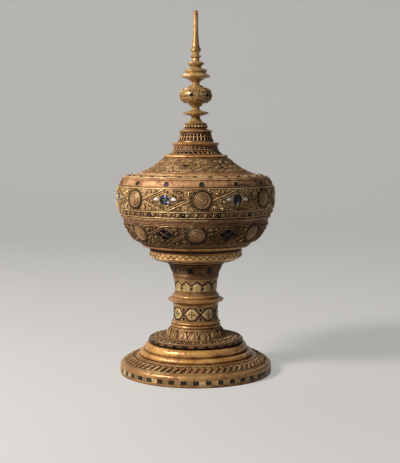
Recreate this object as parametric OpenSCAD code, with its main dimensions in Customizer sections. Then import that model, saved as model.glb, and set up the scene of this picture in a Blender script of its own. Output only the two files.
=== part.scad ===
// Offering vessel with a lid and a tiered spire, as separate turned and inlaid pieces.
// Millimetres, +Z up, the foot stands on z = 0 and the front faces -Y.

/* [Fits] */
// Radial room in a glued joint
glue_gap = 0.2; // [0.1:0.05:0.3]
// Radial room between pieces that lift apart
lift_gap = 0.5; // [0.3:0.1:0.8]
// Room round each glass piece in its pocket
inlay_gap = 0.25; // [0.15:0.05:0.35]
// Height of the tenons between turned sections
tenon_h = 8; // [6:0.5:9]

/* [Foot] */
// Radius of the foot at the floor
foot_r = 152.5; // [148:0.5:160]
// Radial width of the face it stands on
foot_land = 30; // [22:1:36]
// Radius of the bore under the step
foot_bore_r = 76; // [66:1:80]
// Height of the upright tile band
foot_rim_h = 15; // [15:0.5:17]
// Height of the lip under the tiles
foot_lip_h = 5.5; // [5:0.25:6]
// Height of the plain ridge over the tiles
foot_ridge_h = 8.5; // [7:0.5:12]
// How far the ridge draws in
foot_ridge_in = 6.5; // [5:0.5:8]
// Height of the sloping band
foot_slope_h = 11; // [9.5:0.5:14]
// Radial width of the sloping band
foot_slope_w = 24; // [20:0.5:27]

/* [Curls of the sloping band] */
// Number of curls
curl_count = 64; // [48:1:68]
// Length of the leaf of a curl
curl_len = 20; // [15:0.5:21]
// Width of that leaf
curl_w = 6; // [4:0.25:7]
// Rise of the curls
curl_up = 2.2; // [1.4:0.1:2.6]
// Lean of the leaves
curl_lean = 32; // [15:1:40]
// Radius of the eye beside each leaf
curl_eye_r = 2.6; // [1.6:0.1:2.8]

/* [Rim tiles] */
// Number of pale tiles
tile_count = 40; // [34:1:42]
// Width of a pale tile
tile_w = 13; // [10:0.5:13.5]
// Width of a dark tile
dark_tile_w = 7; // [5:0.5:7]
// Height of the tiles
tile_h = 7.5; // [6:0.25:8]
// Thickness of the tiles
tile_t = 2; // [1.5:0.25:2.5]

/* [Foot step] */
// How far the step stands in from the sloping band
step_in = 3; // [2:0.5:7]
// Height of that fillet
step_fillet_h = 1.5; // [1:0.25:2]
// Height of the lower torus
step_low_h = 10; // [8:0.5:12]
// Height of the upper torus
step_high_h = 14; // [12:0.5:16]
// How far the lower torus stands in from the fillet
step_low_in = 5.5; // [5:0.5:8]
// How far the upper torus stands in from the lower one
step_high_in = 10.5; // [9:0.5:12]
// How far the upper torus draws in to the top
step_top_in = 7; // [5:0.5:9]

/* [Foot disc] */
// How far the disc stands in from the top of the step
disc_in = 0.5; // [-3:0.5:3]
// Height of the groove under it
disc_groove_h = 3; // [2:0.25:4]
// Depth of that groove
disc_groove_in = 4.5; // [3:0.25:6]
// Height of the disc edge
disc_edge_h = 6.5; // [6:0.25:9]
// Rise of the disc top
disc_rise = 4; // [3:0.5:8]
// Number of studs round the edge
stud_count = 28; // [24:1:32]
// Width of a stud
stud_w = 7; // [5:0.5:8]
// Height of a stud
stud_h = 3; // [2:0.25:3.5]

/* [Lotus flare] */
// Radius at the bottom of the flare
flare_r = 61; // [58:0.5:64]
// Height of the flare
flare_h = 18.5; // [16:0.5:21]
// Radius at its top
flare_top_r = 50; // [48:0.5:52]
// Hollow of its curve
flare_hollow = 2.4; // [1.8:0.2:3]
// Number of lotus petals
lotus_count = 16; // [12:1:16]
// Width of a petal at its foot
lotus_w = 21; // [18:0.5:22]
// Rise of the petals at their tips
lotus_tip = 0.5; // [0.2:0.1:1]
// Turn of the first petal from the front
lotus_turn = -4; // [-11:1:11]

/* [Stem] */
// Radius of the tenons of the stem
stem_tenon_r = 24; // [18:1:28]
// Height of the lower ring moulding
ring_h = 13; // [12:0.5:16]
// Radius of the lower ring moulding
ring_r = 48.5; // [47:0.5:50]
// Height of the lower drum
low_drum_h = 32; // [28:0.5:38]
// Radius of the lower drum
low_drum_r = 44.5; // [43:0.5:46]
// Height of the knop
knop_h = 21; // [19:0.5:24]
// Radius of the edge of the knop
knop_r = 56; // [53:0.5:60]
// Height of the hollow under that edge
knop_under_h = 8; // [7:0.25:9]
// Thickness of the edge
knop_edge_h = 3; // [2:0.25:4]
// Height of the bead over the edge
knop_bead_h = 6; // [5:0.25:7]
// Height of the upper drum
high_drum_h = 33; // [30:0.5:36]
// Radius at the bottom of the upper drum
high_drum_r = 41.2; // [40.6:0.2:43]
// Radius at the top of the upper drum
high_drum_top_r = 43.6; // [43:0.2:45]
// Height of the lips of both drums
drum_lip_h = 2.5; // [2:0.25:3]
// How far the lips stand out
drum_lip = 1.3; // [1:0.1:1.6]
// Height of the neck
neck_h = 35; // [34:0.5:39]
// Radius at the bottom of the neck
neck_r = 45.5; // [45:0.5:47]
// Radius where the neck starts to flare
neck_mid_r = 53; // [51:0.5:55]
// Radius at the top of the neck
neck_top_r = 66; // [63:0.5:68]

/* [Stem inlay] */
// Number of panels round the lower drum
hex_count = 8; // [6:1:9]
// Radius of a dot of glass
dot_r = 2.6; // [1.5:0.1:2.8]
// Height of the dots from the middle of the lower drum
dot_up = 9; // [7:0.25:9.5]
// Radius of a dot in the flower of a panel
flower_dot_r = 1.9; // [1.25:0.05:1.95]
// Spread of that flower
flower_spread = 4.7; // [4.6:0.1:5.5]
// Number of panels round the upper drum
arch_count = 12; // [10:1:14]
// Height of the dots over the bottom of the upper drum
arch_dot_up = 14.5; // [9:0.25:17]
// Number of upright panels on the neck
panel_count = 8; // [6:1:10]
// Width of a panel
panel_w = 9; // [7:0.5:10]
// Height of a panel
panel_h = 13.5; // [9:0.5:14]
// Thickness of the glass on the stem
stem_glass_t = 2; // [1.75:0.25:2.5]

/* [Bowl] */
// How far the flange stands in from the ridge of the base
flange_in = 15.5; // [13:0.5:17]
// Height of the flange
flange_h = 19; // [17:0.5:21]
// Height of the turned base
base_h = 17; // [16:0.5:20]
// How far the ridge of the base stands in from the wall
base_ridge_in = 2; // [1:0.25:4]
// Thickness of the bowl floor
floor_t = 11; // [9:0.5:12]
// Height of the wall
wall_h = 44.5; // [42:0.5:47]
// How far the wall flares out
wall_flare = 33.5; // [31:0.5:35]
// Bulge of the wall
wall_bulge = 6; // [5:0.2:6.6]
// Height of the rim hoop
rim_h = 6; // [6:0.5:9]
// Thickness of the bowl outside the collar
rim_t = 6.5; // [5.5:0.5:8]
// Outer radius of the collar the lid fits over
collar_r = 137; // [136:0.5:138]
// Thickness of the collar
collar_t = 6; // [5:0.5:7]
// How far the collar stands over the rim
collar_up = 9; // [8:0.5:11]

/* [Inner tray] */
// Depth of the tray under its flange
tray_depth = 33; // [24:1:34]
// Thickness of the tray
tray_t = 5; // [4:0.5:6]
// Thickness of the tray flange
tray_flange_t = 3.5; // [3:0.5:4.5]
// Room between tray and collar
tray_gap = 2.5; // [2:0.25:4]

/* [Lid] */
// Height of the bottom hoop
hoop_h = 7.5; // [7:0.5:9]
// Thickness of the bottom hoop outside the collar
hoop_t = 10; // [9:0.5:11.5]
// How far the drum stands out over the hoop
drum_out = 2.5; // [2:0.5:3.5]
// Height of the relief band of the drum
frieze_h = 57; // [54:0.5:60]
// How far the relief band flares out
frieze_flare = 4; // [2:0.5:6]
// Bulge of the relief band
frieze_bulge = 4.7; // [4:0.2:5.2]
// Height of the plain border over it
border_h = 15.5; // [14:0.5:18]
// How far the border draws in
border_in = 8.5; // [7:0.5:9.5]
// Thickness of the drum wall
lid_t = 8; // [7.5:0.5:8.5]
// Height of the shoulder with its ridge
shoulder_h = 10.5; // [9.5:0.5:13]
// Width of the shoulder up to its ridge
shoulder_w = 32; // [29:0.5:35]
// Height of the cone
cone_h = 27; // [24:0.5:32]
// Width of the ridge round the cone
ridge_w = 7; // [6:0.5:9]
// Radius at the top of the cone
cone_top_r = 65; // [62:0.5:70]
// Hollow of the cone
cone_hollow = 3; // [2:0.2:4]
// Level width of the cone wall
cone_t = 11; // [10:0.5:12]
// Height of the crown ring
crown_h = 7; // [6:0.5:9]
// How far the crown ring stands in from the cone
crown_in = 3; // [2:0.5:5]

/* [Bosses and inlay] */
// Number of bosses round the lid and round the bowl
boss_count = 7; // [6:1:7]
// Turn of the first boss of the lid from the front
lid_boss_turn = 4.5; // [-10:0.5:10]
// Radius of the frame of a boss
boss_frame_r = 19; // [17:0.25:19.5]
// Radius of a boss inside its frame
boss_r = 15; // [13:0.25:15.5]
// Depth of the pocket of a boss
boss_sink = 3; // [2.75:0.25:3.25]
// Rise of the dome of a boss
boss_dome = 3.5; // [2.5:0.25:4.5]
// Radius of a petal of a glass flower
petal_r = 3; // [2.5:0.1:3.2]
// Number of petals of a glass flower
petal_count = 6; // [5:1:6]
// Radius of the petal ring
petal_ring_r = 7; // [6.7:0.1:7.4]
// Corner radius of the mirror leaf on each side of a glass flower
leaf_r = 4.8; // [4:0.1:5.5]
// Thickness of the glass on lid and bowl
glass_t = 2.5; // [2:0.25:3]
// Radius of a single gem
gem_r = 4; // [2.5:0.1:4.2]
// Half length of a glass diamond on the bowl
diamond_a = 16.5; // [13:0.5:18]
// Half height of a glass diamond on the bowl
diamond_b = 11.5; // [9:0.5:13]
// Number of dashes round the shoulder
dash_count = 28; // [24:1:32]
// Length of a dash
dash_w = 8; // [6:0.5:9]

/* [Spire] */
// Radius of the plug in the lid
plug_r = 24; // [18:0.5:26]
// Length of the plug
plug_len = 19; // [15:0.5:22]
// Radius of the rod inside
rod_r = 3; // [2.5:0.1:3.2]
// How far the pierced gallery stands in from the crown
gallery_in = 9; // [7:0.5:11]
// Height of the gallery
gallery_h = 18; // [16:0.5:21]
// How far the gallery draws in
gallery_draw = 10; // [8:0.5:11]
// Thickness of the gallery at its top
gallery_t = 8; // [6:0.5:9]
// Number of holes in the gallery
hole_count = 32; // [26:1:34]
// Radius of a hole
hole_r = 2.8; // [1.8:0.1:2.9]
// Height of the holes over the foot of the gallery
hole_up = 3.75; // [3.5:0.25:9]
// Thickness of the gallery behind a hole
hole_web = 4; // [3:0.5:5]
// How far the cornice stands out over the gallery
cornice_out = 3.7; // [2.5:0.1:5]
// Height of the cornice
cornice_h = 8; // [7:0.5:10]
// Radius at the bottom of the fluted drum
flute_r = 35; // [33:0.5:37]
// How far the fluted drum draws in
flute_draw = 5.5; // [4:0.5:6.5]
// Height of the fluted drum
flute_h = 18; // [17:0.5:21]
// Number of slots in each row of the fluted drum
slot_count = 28; // [22:1:30]
// How far the cap stands out over the fluted drum
cap_out = 3.5; // [2:0.5:4.5]
// Height of that cap
cap_h = 5; // [4.5:0.25:7]
// Height of the beaded collar
bead_collar_h = 12; // [11.5:0.5:14]
// Number of beads
bead_count = 22; // [18:1:22]
// Room between two beads
bead_gap = 0.36; // [0.3:0.02:0.8]
// How far the ring of beads stands in from the cap
bead_in = 11.4; // [10.8:0.2:12]
// Height of the hollow neck over the beads
spire_neck_h = 16; // [14:0.5:19]
// How far that neck stands out over the beads' seat
spire_neck_out = 1.4; // [0.8:0.2:2]
// Radius of the waist of that neck
spire_waist_r = 8.5; // [7.5:0.5:11]
// Radius of the lower disc
low_disc_r = 25.5; // [24:0.5:28]
// Height of the lower disc with its stalk
low_disc_h = 14; // [13:0.5:17]
// Largest radius of the bulb
bulb_r = 31.7; // [30:0.1:32]
// Radius of the collars of the bulb
bulb_collar_r = 15.5; // [15:0.1:16]
// Height of the round of the bulb
bulb_h = 32; // [31:0.5:34]
// Height of the stalk and collar under the bulb
bulb_stalk_h = 10; // [9:0.5:13]
// Height of the collar over the bulb
bulb_cap_h = 5; // [4:0.5:7]
// Number of glass eyes on the bulb
eye_count = 6; // [5:1:8]
// Radius of the four rings over the bulb, lowest first
tier_r = [28.5, 22.2, 16.8, 11]; // [9:0.1:32]
// Height of each of the four rings
tier_h = [23, 13, 16, 10]; // [9:0.5:25]
// Radius of the stalk at the foot of each ring
stalk_r = [7.8, 20, 10.2, 7.2]; // [7:0.1:20]
// Height of the finial
finial_h = 84; // [76:1:95]
// Radius of the flare at the foot of the finial
finial_flare_r = 11; // [10:0.5:12]
// Radius of the finial stalk
finial_r = 5; // [4.6:0.1:5.6]
// Height of the taper over the flare of the finial
finial_taper_h = 30; // [24:1:36]
// Length of the rod in the finial
rod_grip = 22; // [16:1:24]

/* [Hidden] */
$fn = 96;
arc_steps = 12;
eps = 0.5;

// Levels of the stack, each section standing on the one below
z_ridge = foot_rim_h;
z_slope = z_ridge + foot_ridge_h;
z_step = z_slope + foot_slope_h;
z_disc = z_step + step_fillet_h + step_low_h + step_high_h;
z_flare = z_disc + disc_groove_h + disc_edge_h + disc_rise;
z_ring = z_flare + flare_h;
z_low_drum = z_ring + ring_h;
z_knop = z_low_drum + low_drum_h;
z_high_drum = z_knop + knop_h;
z_neck = z_high_drum + high_drum_h;
z_flange = z_neck + neck_h;
z_base = z_flange + flange_h;
z_wall = z_base + base_h;
z_rim = z_wall + wall_h;
z_hoop = z_rim + rim_h;
z_drum = z_hoop + hoop_h;
z_border = z_drum + frieze_h;
z_shoulder = z_border + border_h;
z_cone = z_shoulder + shoulder_h;
z_crown = z_cone + cone_h;
z_gallery = z_crown + crown_h;
z_cornice = z_gallery + gallery_h;
z_flutes = z_cornice + cornice_h;
z_cap = z_flutes + flute_h;
z_beads = z_cap + cap_h;
z_spire_neck = z_beads + bead_collar_h;
z_low_disc = z_spire_neck + spire_neck_h;
z_bulb = z_low_disc + low_disc_h;
z_tier = [
    for (i = [0 : 4])
        z_bulb + bulb_stalk_h + bulb_h + bulb_cap_h + sum_to(tier_h, i)
];
z_finial = z_tier[4];

// Radii of the stack, each stepping out or in from the one it sits on
ridge_r = foot_r - foot_ridge_in;
slope_top_r = ridge_r - 1 - foot_slope_w;
step_r = slope_top_r - step_in;
step_low_r = step_r - step_low_in;
step_high_r = step_low_r - step_high_in;
step_top_r = step_high_r - step_top_in;
disc_r = step_top_r - disc_in;
wall_top_r = collar_r + rim_t;
wall_foot_r = wall_top_r - wall_flare;
base_ridge_r = wall_foot_r - base_ridge_in;
flange_r = base_ridge_r - flange_in;
hoop_r = collar_r + hoop_t;
drum_r = hoop_r + drum_out;
frieze_top_r = drum_r + frieze_flare;
border_top_r = frieze_top_r - border_in;
shoulder_ridge_r = border_top_r - shoulder_w;
cone_r = shoulder_ridge_r - ridge_w;
crown_r = cone_top_r - crown_in;
gallery_r = crown_r - gallery_in;
gallery_top_r = gallery_r - gallery_draw;
cornice_r = gallery_top_r + cornice_out;
flute_top_r = flute_r - flute_draw;
cap_r = flute_top_r + cap_out;
bead_ring_r = cap_r - bead_in;
bead_r = bead_ring_r * sin(180 / bead_count) - bead_gap / 2;
spire_neck_r = bead_ring_r + spire_neck_out;

// Sum of the first n values of a list
function sum_to(list, n) = n == 0 ? 0 : list[n - 1] + sum_to(list, n - 1);

// Circular arc from p to q whose middle stands off the chord by rise, to the right of p to q
function bow(p, q, rise) =
    let (
        along = (q - p) / norm(q - p),
        aside = [along[1], -along[0]],
        half = norm(q - p) / 2,
        radius = (half * half + rise * rise) / (2 * rise),
        centre = (p + q) / 2 + aside * (rise - radius),
        swing = asin(min(1, half / abs(radius)))
    )
    [
        for (i = [0 : arc_steps])
            let (t = swing * (2 * i / arc_steps - 1))
            centre + aside * (radius * cos(t)) + along * (abs(radius) * sin(t))
    ];

// Radius of an outline [[r, z] ...] at height z, and how far it leans out there
function radius_at(wall, z) = lookup(z, [for (p = wall) [p[1], p[0]]]);
function lean_at(wall, z) = atan((radius_at(wall, z + 1) - radius_at(wall, z - 1)) / 2);

// Outline of a solid turned section with a socket below and a tenon above
function section(wall, tenon_r, z0, z1, socket = true, tenon = true) =
    concat(
        socket
            ? [
                [0, z0 + tenon_h + eps],
                [tenon_r + glue_gap, z0 + tenon_h + eps],
                [tenon_r + glue_gap, z0]
            ]
            : [[0, z0]],
        wall,
        tenon ? [[tenon_r, z1], [tenon_r, z1 + tenon_h], [0, z1 + tenon_h]] : [[0, z1]]
    );

module turned(outline) {
    rotate_extrude() polygon(outline);
}

// Puts a child on a wall: its Z points out of the wall, its Y up along it
module on_wall(wall, z, turn) {
    rotate([0, 0, turn])
        translate([0, -radius_at(wall, z), z])
            rotate([90 + lean_at(wall, z), 0, 0])
                children();
}

module ring_of(count, turn = 0) {
    for (i = [0 : count - 1])
        rotate([0, 0, turn + 360 * i / count])
            children();
}

// Glass piece with a bevelled top, standing on the floor of a pocket of the given depth
module glass(r, t, sink, sides = $fn, bevel = 0.6) {
    turn = sides == 4 ? 45 : 0;
    translate([0, 0, -sink])
        rotate([0, 0, turn]) {
            cylinder(r = r, h = t - bevel, $fn = sides);
            translate([0, 0, t - bevel])
                cylinder(r1 = r, r2 = r - bevel, h = bevel, $fn = sides);
        }
}

// Upright prism on a rhomb, standing on the floor of a pocket of the given depth
module rhomb(a, b, t, sink) {
    translate([0, 0, -sink])
        linear_extrude(t)
            polygon([[a, 0], [0, b], [-a, 0], [0, -b]]);
}

// Outline pointed at both ends, along Y
module lens(run, w) {
    arc_r = (run * run + w * w) / (4 * w);
    intersection() {
        translate([arc_r - w / 2, 0])
            circle(r = arc_r);
        translate([w / 2 - arc_r, 0])
            circle(r = arc_r);
    }
}

// Leaf along Y with an arched back, its foot buried in what it lies on
module leaf(run, w, up, tip_up = 0.5, bury = 1.5) {
    fall = up - tip_up;
    back_r = (run * run / 4 + fall * fall) / (2 * fall);
    intersection() {
        translate([0, 0, -bury])
            linear_extrude(bury + up + 1)
                lens(run, w);
        translate([-w, 0, up - back_r])
            rotate([0, 90, 0])
                cylinder(r = back_r, h = 2 * w);
    }
}

module glass_pocket(r, sink, sides = $fn) {
    turn = sides == 4 ? 45 : 0;
    room = inlay_gap / cos(180 / sides);
    translate([0, 0, -sink])
        rotate([0, 0, turn])
            cylinder(r = r + room, h = sink + 10, $fn = sides);
}

/* Foot */

slot_h = tile_h + 2 * inlay_gap;
slot_r = foot_r - tile_t - 0.2;

function plinth_wall() = concat(
    [
        [foot_r, 0],
        [foot_r, foot_lip_h],
        [slot_r, foot_lip_h],
        [slot_r, foot_lip_h + slot_h],
        [foot_r - 0.5, foot_lip_h + slot_h]
    ],
    bow([foot_r - 0.5, z_ridge], [ridge_r, z_slope], 2.2),
    slope_wall()
);

function slope_wall() = [[ridge_r - 1, z_slope], [slope_top_r, z_step]];

// Leaning leaves round the sloping band, each with an eye beside its upper end
module curls() {
    for (i = [0 : curl_count - 1])
        on_wall(slope_wall(), (z_slope + z_step) / 2, 360 * i / curl_count) {
            rotate([0, 0, -curl_lean])
                leaf(curl_len, curl_w, curl_up);
            translate([-curl_eye_r, curl_len / 4, -1])
                cylinder(r1 = curl_eye_r, r2 = curl_eye_r * 0.6, h = curl_up + 0.8);
        }
}

module foot_plinth() {
    cavity_r = foot_r - foot_land;
    color("goldenrod") {
        turned(concat(
            [[cavity_r, 0]],
            plinth_wall(),
            [
                [foot_bore_r, z_step],
                [foot_bore_r, z_step - 10],
                [cavity_r - 10, z_step - 10]
            ]
        ));
        curls();
    }
}

module rim_tile(w) {
    translate([-w / 2, -slot_r - tile_t - 0.1, foot_lip_h + inlay_gap])
        cube([w, tile_t, tile_h]);
}

module foot_rim_tiles() {
    color("lavender")
        ring_of(tile_count, -4)
            rim_tile(tile_w);
}

module foot_rim_dark_tiles() {
    color("darkslategray")
        ring_of(tile_count, -4 + 180 / tile_count)
            rim_tile(dark_tile_w);
}

function step_wall() =
    let (
        z_low = z_step + step_fillet_h,
        z_high = z_low + step_low_h
    )
    concat(
        [[step_r, z_step], [step_r, z_low]],
        bow([step_low_r, z_low], [step_low_r - 5, z_high - 1], 3.6),
        [[step_high_r, z_high - 1]],
        bow([step_high_r, z_high], [step_top_r, z_disc], 4.2)
    );

step_spigot_t = 6;

module foot_step() {
    lip_r = foot_bore_r - glue_gap;
    color("peru")
        turned(concat(
            [[lip_r - step_spigot_t, z_step - tenon_h], [lip_r, z_step - tenon_h], [lip_r, z_step]],
            step_wall(),
            [[lip_r - step_spigot_t, z_disc]]
        ));
}

z_edge = z_disc + disc_groove_h;

function disc_wall() = [
    [disc_r - disc_groove_in, z_disc],
    [disc_r - disc_groove_in, z_edge],
    [disc_r - 1, z_edge],
    [disc_r, z_edge_low],
    [disc_r, z_edge_high],
    [disc_r - 1.5, z_edge + disc_edge_h],
    [flare_r, z_flare]
];

// Straight stretch of the disc's edge, with the studs in its middle
z_edge_low = z_edge + 1;
z_edge_high = z_edge + disc_edge_h - 1.5;
stud_sink = 1.2;

module stud(w, h, t) {
    translate([-w / 2, -disc_r + stud_sink - t, (z_edge_low + z_edge_high - h) / 2])
        cube([w, t, h]);
}

module foot_disc() {
    spigot_r = foot_bore_r - glue_gap - step_spigot_t - glue_gap;
    color("goldenrod")
        difference() {
            turned(concat(
                [[0, z_disc - tenon_h], [spigot_r, z_disc - tenon_h], [spigot_r, z_disc]],
                disc_wall(),
                [
                    [stem_tenon_r, z_flare],
                    [stem_tenon_r, z_flare + tenon_h],
                    [0, z_flare + tenon_h]
                ]
            ));
            ring_of(stud_count)
                stud(stud_w + 2 * inlay_gap, stud_h + 2 * inlay_gap, 8);
        }
}

module foot_disc_studs() {
    color("darkslategray")
        ring_of(stud_count)
            stud(stud_w, stud_h, 1.8);
}

/* Stem */

function flare_wall() = bow([flare_r - 0.5, z_flare], [flare_top_r, z_ring], -flare_hollow);

// Lotus petals, straight from foot to tip over the hollow of the flare
module lotus_petals() {
    deep = 4;
    low = [flare_r, z_flare + 0.5];
    high = [flare_top_r + lotus_tip, z_ring - 0.5];
    ring_of(lotus_count, lotus_turn)
        intersection() {
            turned([low - [deep, 0], low, high, high - [deep, 0]]);
            translate([0, deep + 2 - flare_top_r, z_flare])
                rotate([90, 0, 0])
                    linear_extrude(flare_r)
                        lens(2 * flare_h - 4, lotus_w);
        }
}

module lotus_flare() {
    color("goldenrod") {
        turned(section(flare_wall(), stem_tenon_r, z_flare, z_ring));
        lotus_petals();
    }
}

module stem_lower_ring() {
    part_h = ring_h / 2 - 0.5;
    wall = concat(
        bow([ring_r, z_ring], [ring_r, z_ring + part_h], 1.6),
        [[ring_r - 1.2, z_ring + part_h], [ring_r - 1.2, z_low_drum - part_h]],
        bow([ring_r - 0.5, z_low_drum - part_h], [ring_r - 0.5, z_low_drum - 1], 1.4),
        [[ring_r - 2, z_low_drum]]
    );
    color("peru")
        turned(section(wall, stem_tenon_r, z_ring, z_low_drum));
}

function low_drum_wall() = [
    [low_drum_r + drum_lip, z_low_drum],
    [low_drum_r + drum_lip, z_low_drum + drum_lip_h],
    [low_drum_r, z_low_drum + drum_lip_h + 0.2],
    [low_drum_r, z_knop - drum_lip_h - 0.2],
    [low_drum_r + drum_lip, z_knop - drum_lip_h],
    [low_drum_r + drum_lip, z_knop]
];

z_hex = z_low_drum + low_drum_h / 2;
hex_turn = -10;
stem_sink = 1.5;

// Places of the dots: above and below the middle between two hexagons
module low_dots() {
    for (up = [-1, 1])
        for (i = [0 : hex_count - 1])
            on_wall(
                low_drum_wall(),
                z_hex + up * dot_up,
                hex_turn + 360 * (i + 0.5) / hex_count
            )
                children();
}

// Places of the flower dots: one in the middle of each panel and four round it
module low_flowers() {
    side_turn = asin(flower_spread / low_drum_r);
    for (i = [0 : hex_count - 1], spot = [[0, 0], [1, 0], [-1, 0], [0, 1], [0, -1]])
        on_wall(
            low_drum_wall(),
            z_hex + spot[1] * flower_spread,
            hex_turn + 360 * i / hex_count + spot[0] * side_turn
        )
            children();
}

module stem_lower_drum() {
    color("goldenrod")
        difference() {
            turned(section(low_drum_wall(), stem_tenon_r, z_low_drum, z_knop));
            low_flowers()
                glass_pocket(flower_dot_r, stem_sink);
            low_dots()
                glass_pocket(dot_r, stem_sink);
        }
}

module stem_lower_flowers() {
    color("darkslategray")
        low_flowers()
            glass(flower_dot_r, stem_glass_t, stem_sink, bevel = 0.4);
}

module stem_lower_dots() {
    color("darkslategray")
        low_dots()
            glass(dot_r, stem_glass_t, stem_sink);
}

module stem_knop() {
    z_edge_low = z_knop + knop_under_h;
    z_edge_top = z_edge_low + knop_edge_h;
    z_bead_low = z_high_drum - knop_bead_h;
    wall = concat(
        [[low_drum_r + drum_lip, z_knop]],
        bow([low_drum_r + drum_lip, z_knop + 1], [knop_r - 0.8, z_edge_low], -2),
        [[knop_r, z_edge_low + 0.8], [knop_r, z_edge_top]],
        bow([knop_r - 0.5, z_edge_top + 0.4], [high_drum_r + 6, z_bead_low], -0.8),
        bow([high_drum_r + 5.5, z_bead_low], [high_drum_r + 3.5, z_high_drum - 0.5], 2),
        [[high_drum_r + 3, z_high_drum]]
    );
    color("peru")
        turned(section(wall, stem_tenon_r, z_knop, z_high_drum));
}

function high_drum_wall() = [
    [high_drum_r + 2 * drum_lip, z_high_drum],
    [high_drum_r + 2 * drum_lip, z_high_drum + drum_lip_h],
    [high_drum_r, z_high_drum + drum_lip_h + 0.5],
    [high_drum_top_r, z_neck - drum_lip_h - 0.2],
    [high_drum_top_r + drum_lip, z_neck - drum_lip_h],
    [high_drum_top_r + drum_lip, z_neck]
];

arch_turn = -26;

module high_dots() {
    for (i = [0 : arch_count - 1])
        on_wall(
            high_drum_wall(),
            z_high_drum + arch_dot_up,
            arch_turn + 360 * (i + 0.5) / arch_count
        )
            children();
}

module stem_upper_drum() {
    color("goldenrod")
        difference() {
            turned(section(high_drum_wall(), stem_tenon_r, z_high_drum, z_neck));
            high_dots()
                glass_pocket(dot_r, stem_sink);
        }
}

module stem_upper_dots() {
    color("darkslategray")
        high_dots()
            glass(dot_r, stem_glass_t, stem_sink);
}

z_panel_low = z_neck + neck_h * 0.3;
z_panel_high = z_neck + neck_h * 0.74;

function neck_wall() = concat(
    [[neck_r - 0.5, z_neck]],
    bow([neck_r, z_neck + 0.5], [neck_r + 0.5, z_panel_low - 1], 0.8),
    [[neck_r + 1, z_panel_low], [neck_mid_r, z_panel_high]],
    bow([neck_mid_r + 0.8, z_panel_high + 1], [neck_top_r, z_flange], -2.2)
);

module neck_panels() {
    for (i = [0 : panel_count - 1])
        on_wall(neck_wall(), (z_panel_low + z_panel_high) / 2, -12 + 360 * i / panel_count)
            children();
}

module panel(w, h, t) {
    translate([-w / 2, -h / 2, -stem_sink])
        cube([w, h, t]);
}

module stem_neck() {
    color("goldenrod")
        difference() {
            turned(section(neck_wall(), stem_tenon_r, z_neck, z_flange));
            neck_panels()
                panel(panel_w + 2 * inlay_gap, panel_h + 2 * inlay_gap, 10);
        }
}

module stem_neck_panels() {
    color("darkslategray")
        neck_panels()
            panel(panel_w, panel_h, stem_glass_t);
}

/* Bowl */

function flange_wall() = concat(
    [[neck_top_r + 2, z_flange]],
    bow([neck_top_r + 2, z_flange + 0.5], [flange_r, z_flange + flange_h * 0.48], 3),
    [[flange_r, z_base - 1], [flange_r - 1, z_base]]
);

module bowl_flange() {
    color("peru")
        turned(section(flange_wall(), stem_tenon_r, z_flange, z_base));
}

shell_bore_r = wall_foot_r - 8;

function base_wall() = concat(
    [
        [flange_r - 1, z_base],
        [flange_r, z_base + 1],
        [flange_r, z_base + 2],
        [flange_r - 1.5, z_base + 3],
        [flange_r - 1, z_base + base_h * 0.4]
    ],
    bow([base_ridge_r - 4, z_base + base_h * 0.58], [base_ridge_r - 1.5, z_wall - 1], 2.4),
    [[base_ridge_r - 2, z_wall]]
);

module bowl_base() {
    upstand_r = shell_bore_r - glue_gap;
    color("goldenrod")
        turned(concat(
            [
                [0, z_base + tenon_h + eps],
                [stem_tenon_r + glue_gap, z_base + tenon_h + eps],
                [stem_tenon_r + glue_gap, z_base]
            ],
            base_wall(),
            [
                [upstand_r, z_wall],
                [upstand_r, z_wall + 5],
                [upstand_r - 5, z_wall + 5],
                [upstand_r - 7, z_base + floor_t],
                [0, z_base + floor_t]
            ]
        ));
}

collar_in_r = collar_r - collar_t;
z_collar = z_rim - 5;
z_collar_top = z_hoop + collar_up;

function bowl_outer() = bow([wall_foot_r, z_wall], [wall_top_r, z_rim], wall_bulge);

z_bowl_boss = z_wall + wall_h * 0.6;
bowl_boss_turn = 0.5;

module bowl_boss_places() {
    for (i = [0 : boss_count - 1])
        on_wall(bowl_outer(), z_bowl_boss, bowl_boss_turn + 360 * i / boss_count)
            children();
}

module bowl_diamond_places() {
    for (i = [0 : boss_count - 1])
        on_wall(bowl_outer(), z_bowl_boss, bowl_boss_turn + 360 * (i + 0.5) / boss_count)
            children();
}

bowl_knee_h = 13;
diamond_gap = 0.6;
diamond_sink = 2;

module bowl_wall() {
    color("goldenrod")
        difference() {
            turned(concat(
                [[shell_bore_r, z_wall]],
                bowl_outer(),
                [
                    [collar_r + glue_gap, z_rim],
                    [collar_r + glue_gap, z_collar],
                    [collar_in_r, z_collar],
                    [collar_in_r - 1, z_collar - bowl_knee_h],
                    [shell_bore_r + 2, z_wall + 6],
                    [shell_bore_r, z_wall + 6]
                ]
            ));
            bowl_boss_places()
                glass_pocket(boss_frame_r, boss_sink);
            bowl_diamond_places()
                rhomb(diamond_a, diamond_b, diamond_sink + 10, diamond_sink);
        }
}

module bowl_rim() {
    color("peru")
        turned([
            [collar_r + glue_gap, z_rim],
            [wall_top_r + 0.3, z_rim],
            [wall_top_r + 1.3, z_rim + 1],
            [wall_top_r + 1.3, z_rim + 2.5],
            [wall_top_r + 0.5, z_rim + 3],
            [wall_top_r + 1, z_hoop - 2.5],
            [wall_top_r + 1.8, z_hoop - 2],
            [wall_top_r + 1.8, z_hoop],
            [collar_r + glue_gap, z_hoop]
        ]);
}

module bowl_collar() {
    color("firebrick")
        turned([
            [collar_in_r, z_collar],
            [collar_r, z_collar],
            [collar_r, z_collar_top - 1],
            [collar_r - 1, z_collar_top],
            [collar_in_r, z_collar_top]
        ]);
}

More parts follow.
